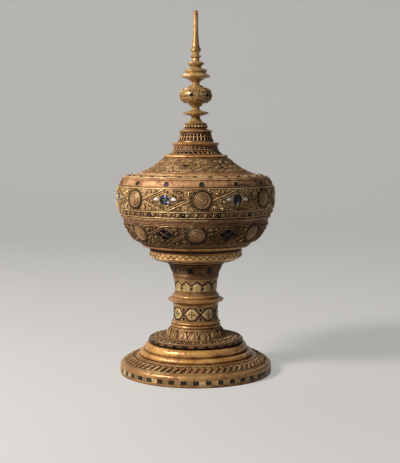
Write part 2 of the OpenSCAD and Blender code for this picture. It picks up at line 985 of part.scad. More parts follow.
// Round boss: a stepped dome standing in its pocket
module boss() {
    translate([0, 0, -boss_sink])
        turned(concat(
            [[0, 0], [boss_r, 0], [boss_r, 3], [boss_r - 1.5, 3.6]],
            bow([boss_r - 2, 3.6], [boss_r * 0.45, 3 + boss_dome * 0.75], boss_dome * 0.18),
            [[boss_r * 0.42, 3 + boss_dome * 0.7]],
            bow([boss_r * 0.3, 3 + boss_dome * 0.75], [0, 3 + boss_dome], boss_dome * 0.08)
        ));
}

module boss_frame() {
    inner_r = boss_r + inlay_gap;
    translate([0, 0, -boss_sink])
        turned(concat(
            [[inner_r, 0], [boss_frame_r, 0]],
            bow([boss_frame_r, 3], [inner_r, 3.2], 1.1)
        ));
}

module bowl_bosses() {
    color("gold")
        bowl_boss_places()
            boss();
}

module bowl_boss_frames() {
    color("peru")
        bowl_boss_places()
            boss_frame();
}

module bowl_diamonds() {
    a = diamond_a / 2 - diamond_gap;
    color("darkslategray")
        bowl_diamond_places()
            for (side = [[1, 0], [-1, 0], [0, 1], [0, -1]])
                translate([side[0] * diamond_a / 2, side[1] * diamond_b / 2, 0])
                    rhomb(a, a * diamond_b / diamond_a, glass_t, diamond_sink);
}

/* Inner tray */

module inner_tray() {
    outer_r = collar_in_r - tray_gap;
    flange_out_r = collar_r - lift_gap;
    z_floor = z_collar_top - tray_depth;
    z_top = z_collar_top + tray_flange_t;
    corner = 8;
    color("firebrick")
        turned(concat(
            [[0, z_floor]],
            bow([outer_r - corner, z_floor], [outer_r, z_floor + corner], corner * 0.29),
            [
                [outer_r, z_collar_top],
                [flange_out_r, z_collar_top],
                [flange_out_r, z_top - 1],
                [flange_out_r - 1, z_top],
                [outer_r - tray_t, z_top]
            ],
            bow(
                [outer_r - tray_t, z_floor + tray_t + corner],
                [outer_r - tray_t - corner, z_floor + tray_t],
                -corner * 0.29
            ),
            [[0, z_floor + tray_t]]
        ));
}

/* Lid */

hoop_in_r = collar_r + lift_gap;
drum_bore_r = drum_r - lid_t;

module lid_hoop() {
    upstand_r = drum_bore_r - glue_gap;
    color("peru")
        turned(concat(
            [[hoop_in_r, z_hoop], [hoop_r - 1.5, z_hoop], [hoop_r - 1, z_hoop + 1]],
            bow([hoop_r - 0.5, z_hoop + 1], [hoop_r + 0.5, z_drum - 0.5], 2),
            [
                [hoop_r + 0.5, z_drum],
                [upstand_r, z_drum],
                [upstand_r, z_drum + 4],
                [hoop_in_r, z_drum + 4]
            ]
        ));
}

function frieze_wall() = bow([drum_r, z_drum], [frieze_top_r, z_border], frieze_bulge);
function border_wall() =
    bow([frieze_top_r - 1, z_border + 0.5], [border_top_r, z_shoulder], 1.2);

z_lid_boss = z_drum + frieze_h * 0.61;
z_upper_gem = z_border + border_h * 0.42;
z_lower_gem = z_drum + frieze_h * 0.11;
gem_sink = 2;
flower_pocket_r = petal_ring_r + petal_r;

module lid_boss_places() {
    for (i = [0 : boss_count - 1])
        on_wall(frieze_wall(), z_lid_boss, lid_boss_turn + 360 * i / boss_count)
            children();
}

module lid_flower_places() {
    for (i = [0 : boss_count - 1])
        on_wall(frieze_wall(), z_lid_boss, lid_boss_turn + 360 * (i + 0.5) / boss_count)
            children();
}

module lid_leaf_places() {
    side_turn = asin((flower_pocket_r + leaf_r + 1.5) / radius_at(frieze_wall(), z_lid_boss));
    for (i = [0 : boss_count - 1], side = [-1, 1])
        on_wall(
            frieze_wall(),
            z_lid_boss,
            lid_boss_turn + 360 * (i + 0.5) / boss_count + side * side_turn
        )
            rotate([0, 0, 45])
                children();
}

module lid_upper_gem_places() {
    for (i = [0 : 2 * boss_count - 1])
        on_wall(border_wall(), z_upper_gem, lid_boss_turn + 180 * i / boss_count)
            children();
}

module lid_lower_gem_places() {
    for (i = [0 : 2 * boss_count - 1])
        on_wall(frieze_wall(), z_lower_gem, lid_boss_turn + 180 * (i + 0.5) / boss_count)
            children();
}

shoulder_bore_r = border_top_r - 7;

drum_top_bore_r = frieze_top_r - lid_t - 1;

module lid_drum() {
    color("goldenrod")
        difference() {
            turned(concat(
                [[drum_bore_r, z_drum]],
                frieze_wall(),
                bow(
                    [drum_top_bore_r, z_border],
                    [drum_bore_r, z_drum + 6],
                    -frieze_bulge * 0.8
                )
            ));
            lid_boss_places()
                glass_pocket(boss_frame_r, boss_sink);
            lid_flower_places()
                glass_pocket(flower_pocket_r, gem_sink);
            lid_leaf_places()
                glass_pocket(leaf_r, gem_sink, 4);
            lid_lower_gem_places()
                glass_pocket(gem_r, gem_sink);
        }
}

module lid_border() {
    color("peru")
        difference() {
            turned(concat(
                [[drum_top_bore_r, z_border], [frieze_top_r - 1, z_border]],
                border_wall(),
                [[shoulder_bore_r, z_shoulder], [shoulder_bore_r, z_shoulder - 6]]
            ));
            lid_upper_gem_places()
                glass_pocket(gem_r, gem_sink);
        }
}

module lid_bosses() {
    color("gold")
        lid_boss_places()
            boss();
}

module lid_boss_frames() {
    color("peru")
        lid_boss_places()
            boss_frame();
}

module lid_flower_petals() {
    color("mediumpurple")
        lid_flower_places()
            for (k = [0 : petal_count - 1])
                rotate([0, 0, 90 + 360 * k / petal_count])
                    translate([petal_ring_r, 0, 0])
                        glass(petal_r, glass_t, gem_sink);
}

module lid_flower_centres() {
    color("seagreen")
        lid_flower_places()
            glass(petal_ring_r - petal_r - 0.5, glass_t + 0.5, gem_sink);
}

module lid_flower_leaves() {
    color("lavender")
        lid_leaf_places()
            glass(leaf_r, glass_t, gem_sink, 4);
}

module lid_upper_gems() {
    color("seagreen")
        lid_upper_gem_places()
            glass(gem_r, glass_t, gem_sink);
}

module lid_lower_gems() {
    color("darkslategray")
        lid_lower_gem_places()
            glass(gem_r, glass_t, gem_sink);
}

ridge_z = z_cone - 4;

// Top of the shoulder from its edge to the ridge, outermost point first
function shoulder_top() = [
    [border_top_r - 0.5, z_shoulder],
    [border_top_r - 2.5, z_shoulder + 2],
    [shoulder_ridge_r, ridge_z]
];

dash_sink = 1.4;
dash_r = (border_top_r + shoulder_ridge_r) / 2 + 4;
shoulder_tilt = atan(
    (ridge_z - z_shoulder - 2) / (border_top_r - 2.5 - shoulder_ridge_r)
);
z_dash = z_shoulder + 2 + (border_top_r - 2.5 - dash_r) * tan(shoulder_tilt);

module dashes(w, d, t) {
    ring_of(dash_count)
        translate([0, -dash_r, z_dash])
            rotate([shoulder_tilt, 0, 0])
                translate([-w / 2, -d / 2, -dash_sink])
                    cube([w, d, t]);
}

module lid_shoulder() {
    spigot_r = shoulder_bore_r - glue_gap;
    bore_r = cone_r - cone_t;
    color("goldenrod")
        difference() {
            turned(concat(
                [
                    [bore_r, z_shoulder - 4],
                    [spigot_r, z_shoulder - 4],
                    [spigot_r, z_shoulder]
                ],
                shoulder_top(),
                bow([shoulder_ridge_r - 0.5, ridge_z], [cone_r + 1.5, z_cone], 1.5),
                [[bore_r, z_cone]]
            ));
            dashes(dash_w + 2 * inlay_gap, 4 + 2 * inlay_gap, 12);
        }
}

module lid_shoulder_dashes() {
    color("darkslategray")
        dashes(dash_w, 4, 2);
}

function cone_wall() = bow([cone_r, z_cone], [cone_top_r, z_crown], -cone_hollow);

cone_gem_turn = -15;

module lid_cone_gem_places() {
    for (i = [0 : boss_count - 1])
        on_wall(cone_wall(), z_cone + cone_h * 0.48, cone_gem_turn + 360 * i / boss_count)
            children();
}

cone_bore_r = cone_top_r - cone_t;

module lid_cone() {
    spigot_r = cone_r - cone_t - glue_gap;
    color("goldenrod")
        difference() {
            turned(concat(
                [[spigot_r - 5, z_cone - 4], [spigot_r, z_cone - 4], [spigot_r, z_cone]],
                cone_wall(),
                [
                    [cone_bore_r, z_crown],
                    [cone_bore_r, z_crown - 4],
                    [spigot_r - 5, z_cone + 2]
                ]
            ));
            lid_cone_gem_places()
                glass_pocket(gem_r, gem_sink);
        }
}

module lid_cone_gems() {
    color("darkslategray")
        lid_cone_gem_places()
            glass(gem_r, glass_t, gem_sink);
}

module lid_crown() {
    socket_r = plug_r + lift_gap;
    spigot_r = cone_bore_r - glue_gap;
    color("peru")
        turned(concat(
            [
                [socket_r, z_crown - tenon_h],
                [spigot_r - 6, z_crown - tenon_h],
                [spigot_r, z_crown - 4],
                [spigot_r, z_crown],
                [crown_r - 1, z_crown]
            ],
            bow([crown_r, z_crown + 0.5], [crown_r, z_gallery - 0.5], 2),
            [[crown_r - 1, z_gallery], [socket_r, z_gallery]]
        ));
}

/* Spire */

spire_bore_r = rod_r + glue_gap;
gallery_bore_r = gallery_top_r - gallery_t;
plug_flange_h = 6;

// Outline of a spire section threaded on the rod
function threaded(wall, z0, z1) = concat([[spire_bore_r, z0]], wall, [[spire_bore_r, z1]]);

z_rod = z_gallery - plug_len + 4;
z_rod_top = z_finial + rod_grip;

module spire_plug() {
    color("sienna")
        turned([
            [0, z_gallery - plug_len],
            [plug_r - 2, z_gallery - plug_len],
            [plug_r, z_gallery - plug_len + 2],
            [plug_r, z_gallery],
            [gallery_bore_r - glue_gap, z_gallery],
            [gallery_bore_r - glue_gap, z_gallery + plug_flange_h],
            [spire_bore_r, z_gallery + plug_flange_h],
            [spire_bore_r, z_rod],
            [0, z_rod]
        ]);
}

function gallery_wall() = concat(
    [[gallery_r, z_gallery], [gallery_r, z_gallery + 1]],
    bow(
        [gallery_r - 0.5, z_gallery + 1],
        [gallery_top_r + 0.5, z_gallery + gallery_h * 0.66],
        -1.2
    ),
    [[gallery_top_r, z_cornice]]
);

module spire_gallery() {
    color("goldenrod")
        difference() {
            turned(concat(
                [[gallery_bore_r, z_gallery]],
                gallery_wall(),
                [[gallery_bore_r, z_cornice]]
            ));
            ring_of(hole_count)
                translate([0, -gallery_bore_r - hole_web, z_gallery + hole_up])
                    rotate([90, 0, 0])
                        cylinder(r = hole_r, h = gallery_r);
        }
}

module spire_cornice() {
    spigot_r = gallery_bore_r - glue_gap;
    color("peru")
        turned([
            [spire_bore_r, z_cornice - 3],
            [spigot_r, z_cornice - 3],
            [spigot_r, z_cornice],
            [gallery_top_r + 1, z_cornice],
            [cornice_r - 0.7, z_cornice + cornice_h * 0.25],
            [cornice_r, z_cornice + cornice_h * 0.35],
            [cornice_r, z_cornice + cornice_h * 0.6],
            [cornice_r - 0.8, z_cornice + cornice_h * 0.7],
            [flute_r + 1, z_cornice + cornice_h * 0.85],
            [flute_r + 0.5, z_flutes],
            [spire_bore_r, z_flutes]
        ]);
}

function flute_wall() = bow([flute_r, z_flutes], [flute_top_r, z_cap], -1);

module spire_fluted_drum() {
    color("goldenrod")
        difference() {
            turned(threaded(flute_wall(), z_flutes, z_cap));
            for (row = [[0.26, 6], [0.68, 4]], i = [0 : slot_count - 1])
                on_wall(flute_wall(), z_flutes + flute_h * row[0], 360 * i / slot_count)
                    translate([-1.7, -row[1] / 2, -2.2])
                        cube([3.4, row[1], 8]);
        }
}

module spire_cap() {
    color("peru")
        turned(threaded(
            [
                [flute_top_r + 0.5, z_cap],
                [cap_r, z_cap + cap_h * 0.3],
                [cap_r, z_cap + cap_h * 0.7],
                [cap_r - 1, z_cap + cap_h * 0.85],
                [cap_r - 6, z_beads]
            ],
            z_cap,
            z_beads
        ));
}

z_bead = z_beads + bead_collar_h * 0.55;

module spire_bead_collar() {
    channel = bead_r + 0.3;
    color("peru")
        turned(threaded(
            concat(
                [
                    [cap_r - 6.5, z_beads],
                    [cap_r - 6.5, z_beads + 1.5],
                    [bead_ring_r, z_beads + 2]
                ],
                bow([bead_ring_r, z_bead - channel], [bead_ring_r, z_bead + channel], -channel),
                [[bead_ring_r, z_spire_neck - 0.5], [bead_ring_r + 1, z_spire_neck]]
            ),
            z_beads,
            z_spire_neck
        ));
}

module spire_beads() {
    color("gold")
        ring_of(bead_count)
            translate([0, -bead_ring_r - 0.1, z_bead])
                sphere(r = bead_r);
}

module spire_neck() {
    color("goldenrod")
        turned(threaded(
            concat(
                [[spire_neck_r, z_spire_neck], [spire_neck_r, z_spire_neck + 1]],
                bow(
                    [spire_neck_r - 0.8, z_spire_neck + 1],
                    [spire_waist_r, z_low_disc - 4],
                    -2.2
                ),
                [[spire_waist_r, z_low_disc - 3], [spire_waist_r + 2.5, z_low_disc]]
            ),
            z_spire_neck,
            z_low_disc
        ));
}

module spire_lower_disc() {
    z0 = z_low_disc;
    color("peru")
        turned(threaded(
            concat(
                [
                    [spire_waist_r + 3.5, z0],
                    [low_disc_r - 5.5, z0 + 1.5],
                    [low_disc_r, z0 + 4],
                    [low_disc_r, z0 + 6.5],
                    [low_disc_r - 7.5, z0 + 9]
                ],
                bow([13, z0 + 10], [stalk_r[0], z_bulb], -1)
            ),
            z0,
            z_bulb
        ));
}

z_bulb_round = z_bulb + bulb_stalk_h;
z_bulb_cap = z_bulb_round + bulb_h;

function bulb_wall() = bow(
    [bulb_collar_r, z_bulb_round],
    [bulb_collar_r, z_bulb_cap],
    min(bulb_r - bulb_collar_r, bulb_h / 2)
);

eye_r = 3.4;

module bulb_eye_places() {
    for (i = [0 : eye_count - 1])
        rotate([0, 0, -14 + 360 * i / eye_count])
            translate([0, -bulb_collar_r - bulb_h / 2, z_bulb_round + bulb_h / 2])
                rotate([90, 0, 0])
                    children();
}

module spire_bulb() {
    low_collar = bulb_collar_r - 2;
    color("goldenrod")
        difference() {
            turned(threaded(
                concat(
                    [
                        [stalk_r[0], z_bulb],
                        [stalk_r[0], z_bulb + bulb_stalk_h * 0.35],
                        [low_collar, z_bulb + bulb_stalk_h * 0.6],
                        [low_collar, z_bulb + bulb_stalk_h * 0.85]
                    ],
                    bulb_wall(),
                    [
                        [bulb_collar_r, z_bulb_cap + bulb_cap_h * 0.4],
                        [bulb_collar_r - 3.5, z_bulb_cap + bulb_cap_h * 0.7],
                        [stalk_r[0], z_tier[0]]
                    ]
                ),
                z_bulb,
                z_tier[0]
            ));
            bulb_eye_places()
                glass_pocket(eye_r, gem_sink);
        }
}

module spire_bulb_eyes() {
    color("darkslategray")
        bulb_eye_places()
            glass(eye_r, glass_t, gem_sink);
}

module spire_ring_1() {
    z0 = z_tier[0];
    h = tier_h[0];
    color("goldenrod")
        turned(threaded(
            concat(
                [[stalk_r[0], z0], [stalk_r[0], z0 + h * 0.2]],
                bow([stalk_r[0] + 0.5, z0 + h * 0.22], [tier_r[0] - 2, z0 + h * 0.6], -1.5),
                [
                    [tier_r[0], z0 + h * 0.66],
                    [tier_r[0], z0 + h * 0.76],
                    [tier_r[0] - 4.5, z0 + h * 0.9],
                    [stalk_r[1] + 1, z_tier[1]]
                ]
            ),
            z0,
            z_tier[1]
        ));
}

module spire_ring_2() {
    z0 = z_tier[1];
    h = tier_h[1];
    color("goldenrod")
        turned(threaded(
            concat(
                [[stalk_r[1], z0], [tier_r[1], z0 + h * 0.28], [tier_r[1], z0 + h * 0.48]],
                bow([tier_r[1] - 4, z0 + h * 0.6], [stalk_r[2], z_tier[2] - 1], -1),
                [[stalk_r[2], z_tier[2]]]
            ),
            z0,
            z_tier[2]
        ));
}

module spire_ring_3() {
    z0 = z_tier[2];
    h = tier_h[2];
    color("goldenrod")
        turned(threaded(
            concat(
                [
                    [stalk_r[2], z0],
                    [tier_r[2] - 2.3, z0 + h * 0.18],
                    [tier_r[2], z0 + h * 0.32],
                    [tier_r[2], z0 + h * 0.44]
                ],
                bow([tier_r[2] - 6, z0 + h * 0.58], [stalk_r[3], z0 + h * 0.75], -0.5),
                [[stalk_r[3], z_tier[3]]]
            ),
            z0,
            z_tier[3]
        ));
}

module spire_ring_4() {
    z0 = z_tier[3];
    h = tier_h[3];
    color("goldenrod")
        turned(threaded(
            [
                [stalk_r[3], z0],
                [tier_r[3] - 0.6, z0 + h * 0.22],
                [tier_r[3], z0 + h * 0.32],
                [tier_r[3], z0 + h * 0.45],
                [stalk_r[3], z0 + h * 0.65],
                [stalk_r[3], z_finial]
            ],
            z0,
            z_finial
        ));
}

module spire_finial() {
    z0 = z_finial;
    z_tip = z_finial + finial_h;
    color("goldenrod")
        turned(concat(
            [
                [spire_bore_r, z0],
                [stalk_r[3], z0],
                [finial_flare_r - 2.5, z0 + 2.5],
                [finial_flare_r, z0 + 5.5],
                [finial_flare_r, z0 + 6.5]
            ],
            bow(
                [finial_flare_r - 0.6, z0 + 8],
                [finial_r + 1.5, z0 + 8 + finial_taper_h * 0.4],
                -1
            ),
            [[finial_r, z0 + 8 + finial_taper_h]],
            bow([finial_r - 0.2, z_tip - 5], [0, z_tip], 1.2),
            [[0, z_rod_top + eps], [spire_bore_r, z_rod_top + eps]]
        ));
}

module spire_rod() {
    color("dimgray")
        translate([0, 0, z_rod])
            cylinder(r = rod_r, h = z_rod_top - z_rod);
}

foot_plinth();
foot_rim_tiles();
foot_rim_dark_tiles();
foot_step();
foot_disc();
foot_disc_studs();
lotus_flare();
stem_lower_ring();
stem_lower_drum();
stem_lower_flowers();
stem_lower_dots();
stem_knop();
stem_upper_drum();
stem_upper_dots();
stem_neck();
stem_neck_panels();
bowl_flange();
bowl_base();
bowl_wall();
bowl_rim();
bowl_collar();
bowl_bosses();
bowl_boss_frames();
bowl_diamonds();
inner_tray();
lid_hoop();
lid_drum();
lid_border();
lid_shoulder();
lid_cone();
lid_crown();
lid_bosses();
lid_boss_frames();
lid_flower_petals();
lid_flower_centres();
lid_flower_leaves();
lid_upper_gems();
lid_lower_gems();
lid_shoulder_dashes();
lid_cone_gems();
spire_plug();
spire_gallery();
spire_cornice();
spire_fluted_drum();
spire_cap();
spire_bead_collar();
spire_beads();
spire_neck();
spire_lower_disc();
spire_bulb();
spire_bulb_eyes();
spire_ring_1();
spire_ring_2();
spire_ring_3();
spire_ring_4();
spire_finial();
spire_rod();
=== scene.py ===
import math

import bpy
import numpy as np
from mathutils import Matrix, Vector


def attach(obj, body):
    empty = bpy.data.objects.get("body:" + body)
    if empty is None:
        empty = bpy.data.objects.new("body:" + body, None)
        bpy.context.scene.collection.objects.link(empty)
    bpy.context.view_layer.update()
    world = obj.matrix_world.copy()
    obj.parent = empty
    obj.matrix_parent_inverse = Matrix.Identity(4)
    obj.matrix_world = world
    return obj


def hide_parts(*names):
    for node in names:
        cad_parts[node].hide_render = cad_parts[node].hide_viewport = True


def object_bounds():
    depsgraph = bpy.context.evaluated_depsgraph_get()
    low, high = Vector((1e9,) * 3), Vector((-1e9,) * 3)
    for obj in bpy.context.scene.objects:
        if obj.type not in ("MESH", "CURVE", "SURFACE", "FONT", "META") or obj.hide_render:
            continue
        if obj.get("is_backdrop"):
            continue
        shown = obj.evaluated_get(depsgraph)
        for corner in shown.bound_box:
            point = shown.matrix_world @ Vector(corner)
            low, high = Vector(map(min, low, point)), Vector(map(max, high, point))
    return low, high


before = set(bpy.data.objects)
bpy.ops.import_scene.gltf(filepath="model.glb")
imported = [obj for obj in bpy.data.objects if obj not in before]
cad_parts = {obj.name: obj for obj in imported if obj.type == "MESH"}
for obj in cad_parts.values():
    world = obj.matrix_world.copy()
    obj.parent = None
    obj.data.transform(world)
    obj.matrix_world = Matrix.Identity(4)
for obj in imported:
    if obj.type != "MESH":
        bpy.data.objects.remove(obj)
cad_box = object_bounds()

# Lengths of ornament are in millimetres, Blender's are in metres.
MM = 0.001
TAU = 2 * math.pi
# How deep the underside of an ornament lies in its ground
SINK = 0.6
# Cross-sections of an ornament: place across it, and rise
ROUND = (np.array([-1, -0.66, 0, 0.66, 1]), np.array([0, 0.74, 1, 0.74, 0]))
VEINED = (
    np.array([-1, -0.55, -0.15, 0, 0.15, 0.55, 1]),
    np.array([0, 0.8, 0.58, 1, 0.58, 0.8, 0]),
)
FLAT = (
    np.array([-1, -0.96, -0.6, -0.2, 0.2, 0.6, 0.96, 1]),
    np.array([0, 1, 1, 1, 1, 1, 1, 0]),
)
# Rings of a bead, from its foot up: radii, rises of those over the foot, and crests
BEAD_RADII = np.array([1, 0.94, 0.66, 0.28])
BEAD_RISES = np.array([0.42, 0.84, 1])
BEAD_CRESTS = [0, 0.5, 0.9, 1]
# Points in a turn of a spiral, and its inner radius as a share of its outer one
SPIRAL_STEPS = 15
SPIRAL_INNER = 0.24
# Scrolls smaller than this become beads
BEAD_LIMIT = 1.7
# Leaves that spring from a scroll: turn along it, and reach
CURL_LEAVES = ((0, 1.5), (2.3, 1.35), (4.2, 1.3))
# Room left between scrolls, and places tried for each size of them
SCROLL_GAP = 0.35
SCROLL_TRIES = 1200


# Walls


def bow(p, q, rise, steps=14):
    """Circular arc from p to q whose middle stands off the chord by rise, to the right."""
    p = np.array(p, float)
    q = np.array(q, float)
    chord = np.linalg.norm(q - p)
    along = (q - p) / chord
    aside = np.array([along[1], -along[0]])
    radius = ((chord / 2) ** 2 + rise**2) / (2 * rise)
    centre = (p + q) / 2 + aside * (rise - radius)
    swing = math.asin(min(1, chord / 2 / abs(radius)))
    t = np.linspace(-swing, swing, steps + 1)[:, None]
    return centre + aside * radius * np.cos(t) + along * abs(radius) * np.sin(t)


def sway(turn, y):
    """Small unevenness of hand work, the same after a whole turn."""
    dx = 0.28 * np.sin(11 * turn + 0.21 * y) + 0.18 * np.sin(29 * turn - 0.33 * y)
    dy = 0.22 * np.sin(13 * turn + 0.9) + 0.14 * np.sin(37 * turn + 0.25 * y)
    return dx, dy


class Wall:
    """Turned outline of radius and height, measured by its own length from the first point."""

    def __init__(self, *stretches):
        points = np.vstack([np.array(s, float).reshape(-1, 2) for s in stretches])
        keep = np.r_[True, np.linalg.norm(np.diff(points, axis=0), axis=1) > 1e-6]
        self.points = points[keep]
        steps = np.linalg.norm(np.diff(self.points, axis=0), axis=1)
        self.run = np.r_[0, np.cumsum(steps)]
        self.length = self.run[-1]
        self.mid_r = float(np.interp(self.length / 2, self.run, self.points[:, 0]))
        ahead = np.gradient(self.points, self.run, axis=0)
        ahead /= np.linalg.norm(ahead, axis=1)[:, None]
        self.normal = np.stack([ahead[:, 1], -ahead[:, 0]], axis=1)

    def run_at(self, z):
        return float(np.interp(z, self.points[:, 1], self.run))

    def at(self, y):
        r, z = (np.interp(y, self.run, self.points[:, i]) for i in (0, 1))
        nr, nz = (np.interp(y, self.run, self.normal[:, i]) for i in (0, 1))
        return r, z, nr, nz

    def place(self, turn, y, h):
        dx, dy = sway(turn, y)
        r, z, nr, nz = self.at(y + dy)
        out = r + h * nr
        turn = turn + dx / np.maximum(r, 1)
        return np.stack([out * np.sin(turn), -out * np.cos(turn), z + h * nz], axis=1)

    def axes(self, z, turn):
        """Point of the wall with its directions round, up and out."""
        r, z, nr, nz = (float(v) for v in self.at(self.run_at(z)))
        s, c = math.sin(turn), math.cos(turn)
        point = np.array([r * s, -r * c, z])
        out = np.array([nr * s, -nr * c, nz])
        around = np.array([c, s, 0])
        return point, around, np.cross(out, around), out


# Flat ornament


def line(p, q, steps=12):
    t = np.linspace(0, 1, steps + 1)[:, None]
    return np.array(p) * (1 - t) + np.array(q) * t


def circle(x, y, r, steps=28):
    a = np.arange(steps) * TAU / steps
    return np.stack([x + r * np.cos(a), y + r * np.sin(a)], axis=1)


def spiral(x, y, r, start, hand, turns):
    t = np.linspace(0, 1, int(SPIRAL_STEPS * turns) + 1)
    radius = r * (1 - (1 - SPIRAL_INNER) * t)
    a = start + hand * TAU * turns * t
    return np.stack([x + radius * np.cos(a), y + radius * np.sin(a)], axis=1), t


def from_circle(x, y, cx, cy, r):
    return np.hypot(x - cx, y - cy) - r


def from_line(x, y, p, q, half):
    d = np.array(q, float) - p
    t = np.clip(((x - p[0]) * d[0] + (y - p[1]) * d[1]) / (d @ d), 0, 1)
    return np.hypot(x - p[0] - t * d[0], y - p[1] - t * d[1]) - half


def from_edges(x, y, x0, x1, y0, y1):
    return np.minimum.reduce([x - x0, x1 - x, y - y0, y1 - y])


def ring_quads(rings, sides, closed=False):
    """Quads from each ring of points to the next, and back to the first if closed."""
    i = np.arange(rings if closed else rings - 1)[:, None]
    j = np.arange(sides)[None]
    here = i * sides
    there = (i + 1) % rings * sides
    beside = (j + 1) % sides
    corners = np.broadcast_arrays(here + j, here + beside, there + beside, there + j)
    return np.stack(corners, axis=-1).reshape(-1, 4)


class Pattern:
    """Ornament drawn flat: x round the wall, y up it, h out of it."""

    def __init__(self):
        self.points = []
        self.crest = []
        self.faces = []
        self.total = 0

    def add(self, points, crest, faces):
        self.points.append(points)
        self.crest.append(crest)
        self.faces.extend(np.asarray(f) + self.total for f in faces)
        self.total += len(points)

    def sweep(self, path, half, height, section=ROUND, base=0.0, closed=False):
        """A ridge along a path, closed underneath."""
        path = np.asarray(path, float)
        count = len(path)
        if closed:
            ahead = np.roll(path, -1, axis=0) - np.roll(path, 1, axis=0)
        else:
            ahead = np.gradient(path, axis=0)
        ahead /= np.linalg.norm(ahead, axis=1)[:, None]
        aside = np.stack([ahead[:, 1], -ahead[:, 0]], axis=1)
        half = np.broadcast_to(half, count)
        height = np.broadcast_to(height, count)
        across, rise = section
        flat = path[:, None] + aside[:, None] * (across[None, :, None] * half[:, None, None])
        lift = base - SINK + (height[:, None] + SINK) * rise[None]
        k = len(across)
        faces = list(ring_quads(count, k, closed))
        if not closed:
            faces.append(np.arange(k)[::-1])
            faces.append((count - 1) * k + np.arange(k))
        self.add(np.dstack([flat, lift]).reshape(-1, 3), np.tile(rise, count), faces)

    def ring(self, x, y, r, half, height, base=0.0, steps=28):
        """A round ridge."""
        self.sweep(circle(x, y, r, steps)[::-1], half, height, base=base, closed=True)

    def bead(self, x, y, r, h, base=0.0, sides=9):
        lifts = base + np.r_[-SINK, BEAD_RISES * h]
        rings = []
        for radius, lift in zip(r * BEAD_RADII, lifts):
            flat = circle(x, y, radius, sides)
            rings.append(np.column_stack([flat, np.full(sides, lift)]))
        faces = list(ring_quads(len(rings), sides))
        faces.append(np.arange(sides)[::-1])
        faces.append((len(rings) - 1) * sides + np.arange(sides))
        self.add(np.vstack(rings), np.repeat(BEAD_CRESTS, sides), faces)

    def scroll(self, x, y, r, start, hand, height, turns=1.5):
        width = 0.4 * r
        path, t = spiral(x, y, r - width / 2, start, hand, turns)
        lead = np.minimum(1, 0.2 + t / 0.15)
        self.sweep(path, width / 2 * (1 - 0.35 * t) * lead, height * (0.85 + 0.3 * t) * lead)
        self.bead(x, y, 0.3 * r, height * 1.25)

    def leaf(self, p, q, width, height, bend=0.0, steps=8):
        path = line(p, q, steps)
        t = np.linspace(0, 1, steps + 1)
        d = path[-1] - path[0]
        path = path + np.stack([-d[1], d[0]]) * (bend * np.sin(math.pi * t))[:, None]
        swell = np.sin(math.pi * np.clip(t, 0.03, 0.97) ** 0.7)
        self.sweep(path, width / 2 * swell, height * (0.25 + 0.75 * swell), VEINED)

    def curl(self, x, y, r, start, hand, height):
        """A scroll with leaves springing from it, or a bead where there is no room."""
        if r < BEAD_LIMIT:
            self.bead(x, y, r, height * 0.8, sides=7)
            return
        self.scroll(x, y, r, start, hand, height, turns=1.2)
        for turn, reach in CURL_LEAVES:
            a = start + hand * (turn + 0.25)
            root = (x + 0.8 * r * math.cos(a), y + 0.8 * r * math.sin(a))
            b = start + hand * (turn - 0.75)
            tip = (x + reach * r * math.cos(b), y + reach * r * math.sin(b))
            self.leaf(root, tip, width=0.6 * r, height=height * 0.85, bend=0.18 * hand, steps=5)

    def fill(self, clear, box, sizes, seed, height, mirror=False):
        """Packs scrolls of falling size where clear(x, y), the free room, allows them."""
        rng = np.random.default_rng(seed)
        placed = np.zeros((0, 3))
        for r in sizes:
            xs = rng.uniform(box[0], box[1], SCROLL_TRIES)
            ys = rng.uniform(box[2], box[3], SCROLL_TRIES)
            free = clear(xs, ys) > r + SCROLL_GAP
            for x, y in zip(xs[free], ys[free]):
                room = np.hypot(placed[:, 0] - x, placed[:, 1] - y) - placed[:, 2]
                if len(placed) and room.min() < r + SCROLL_GAP:
                    continue
                placed = np.vstack([placed, (x, y, r)])
        for x, y, r in placed:
            start = rng.uniform(0, TAU)
            hand = rng.choice((-1, 1))
            tall = height * rng.uniform(0.85, 1.1)
            self.curl(x, y, r, start, hand, tall)
            if mirror:
                self.curl(-x, y, r, math.pi - start, -hand, tall)


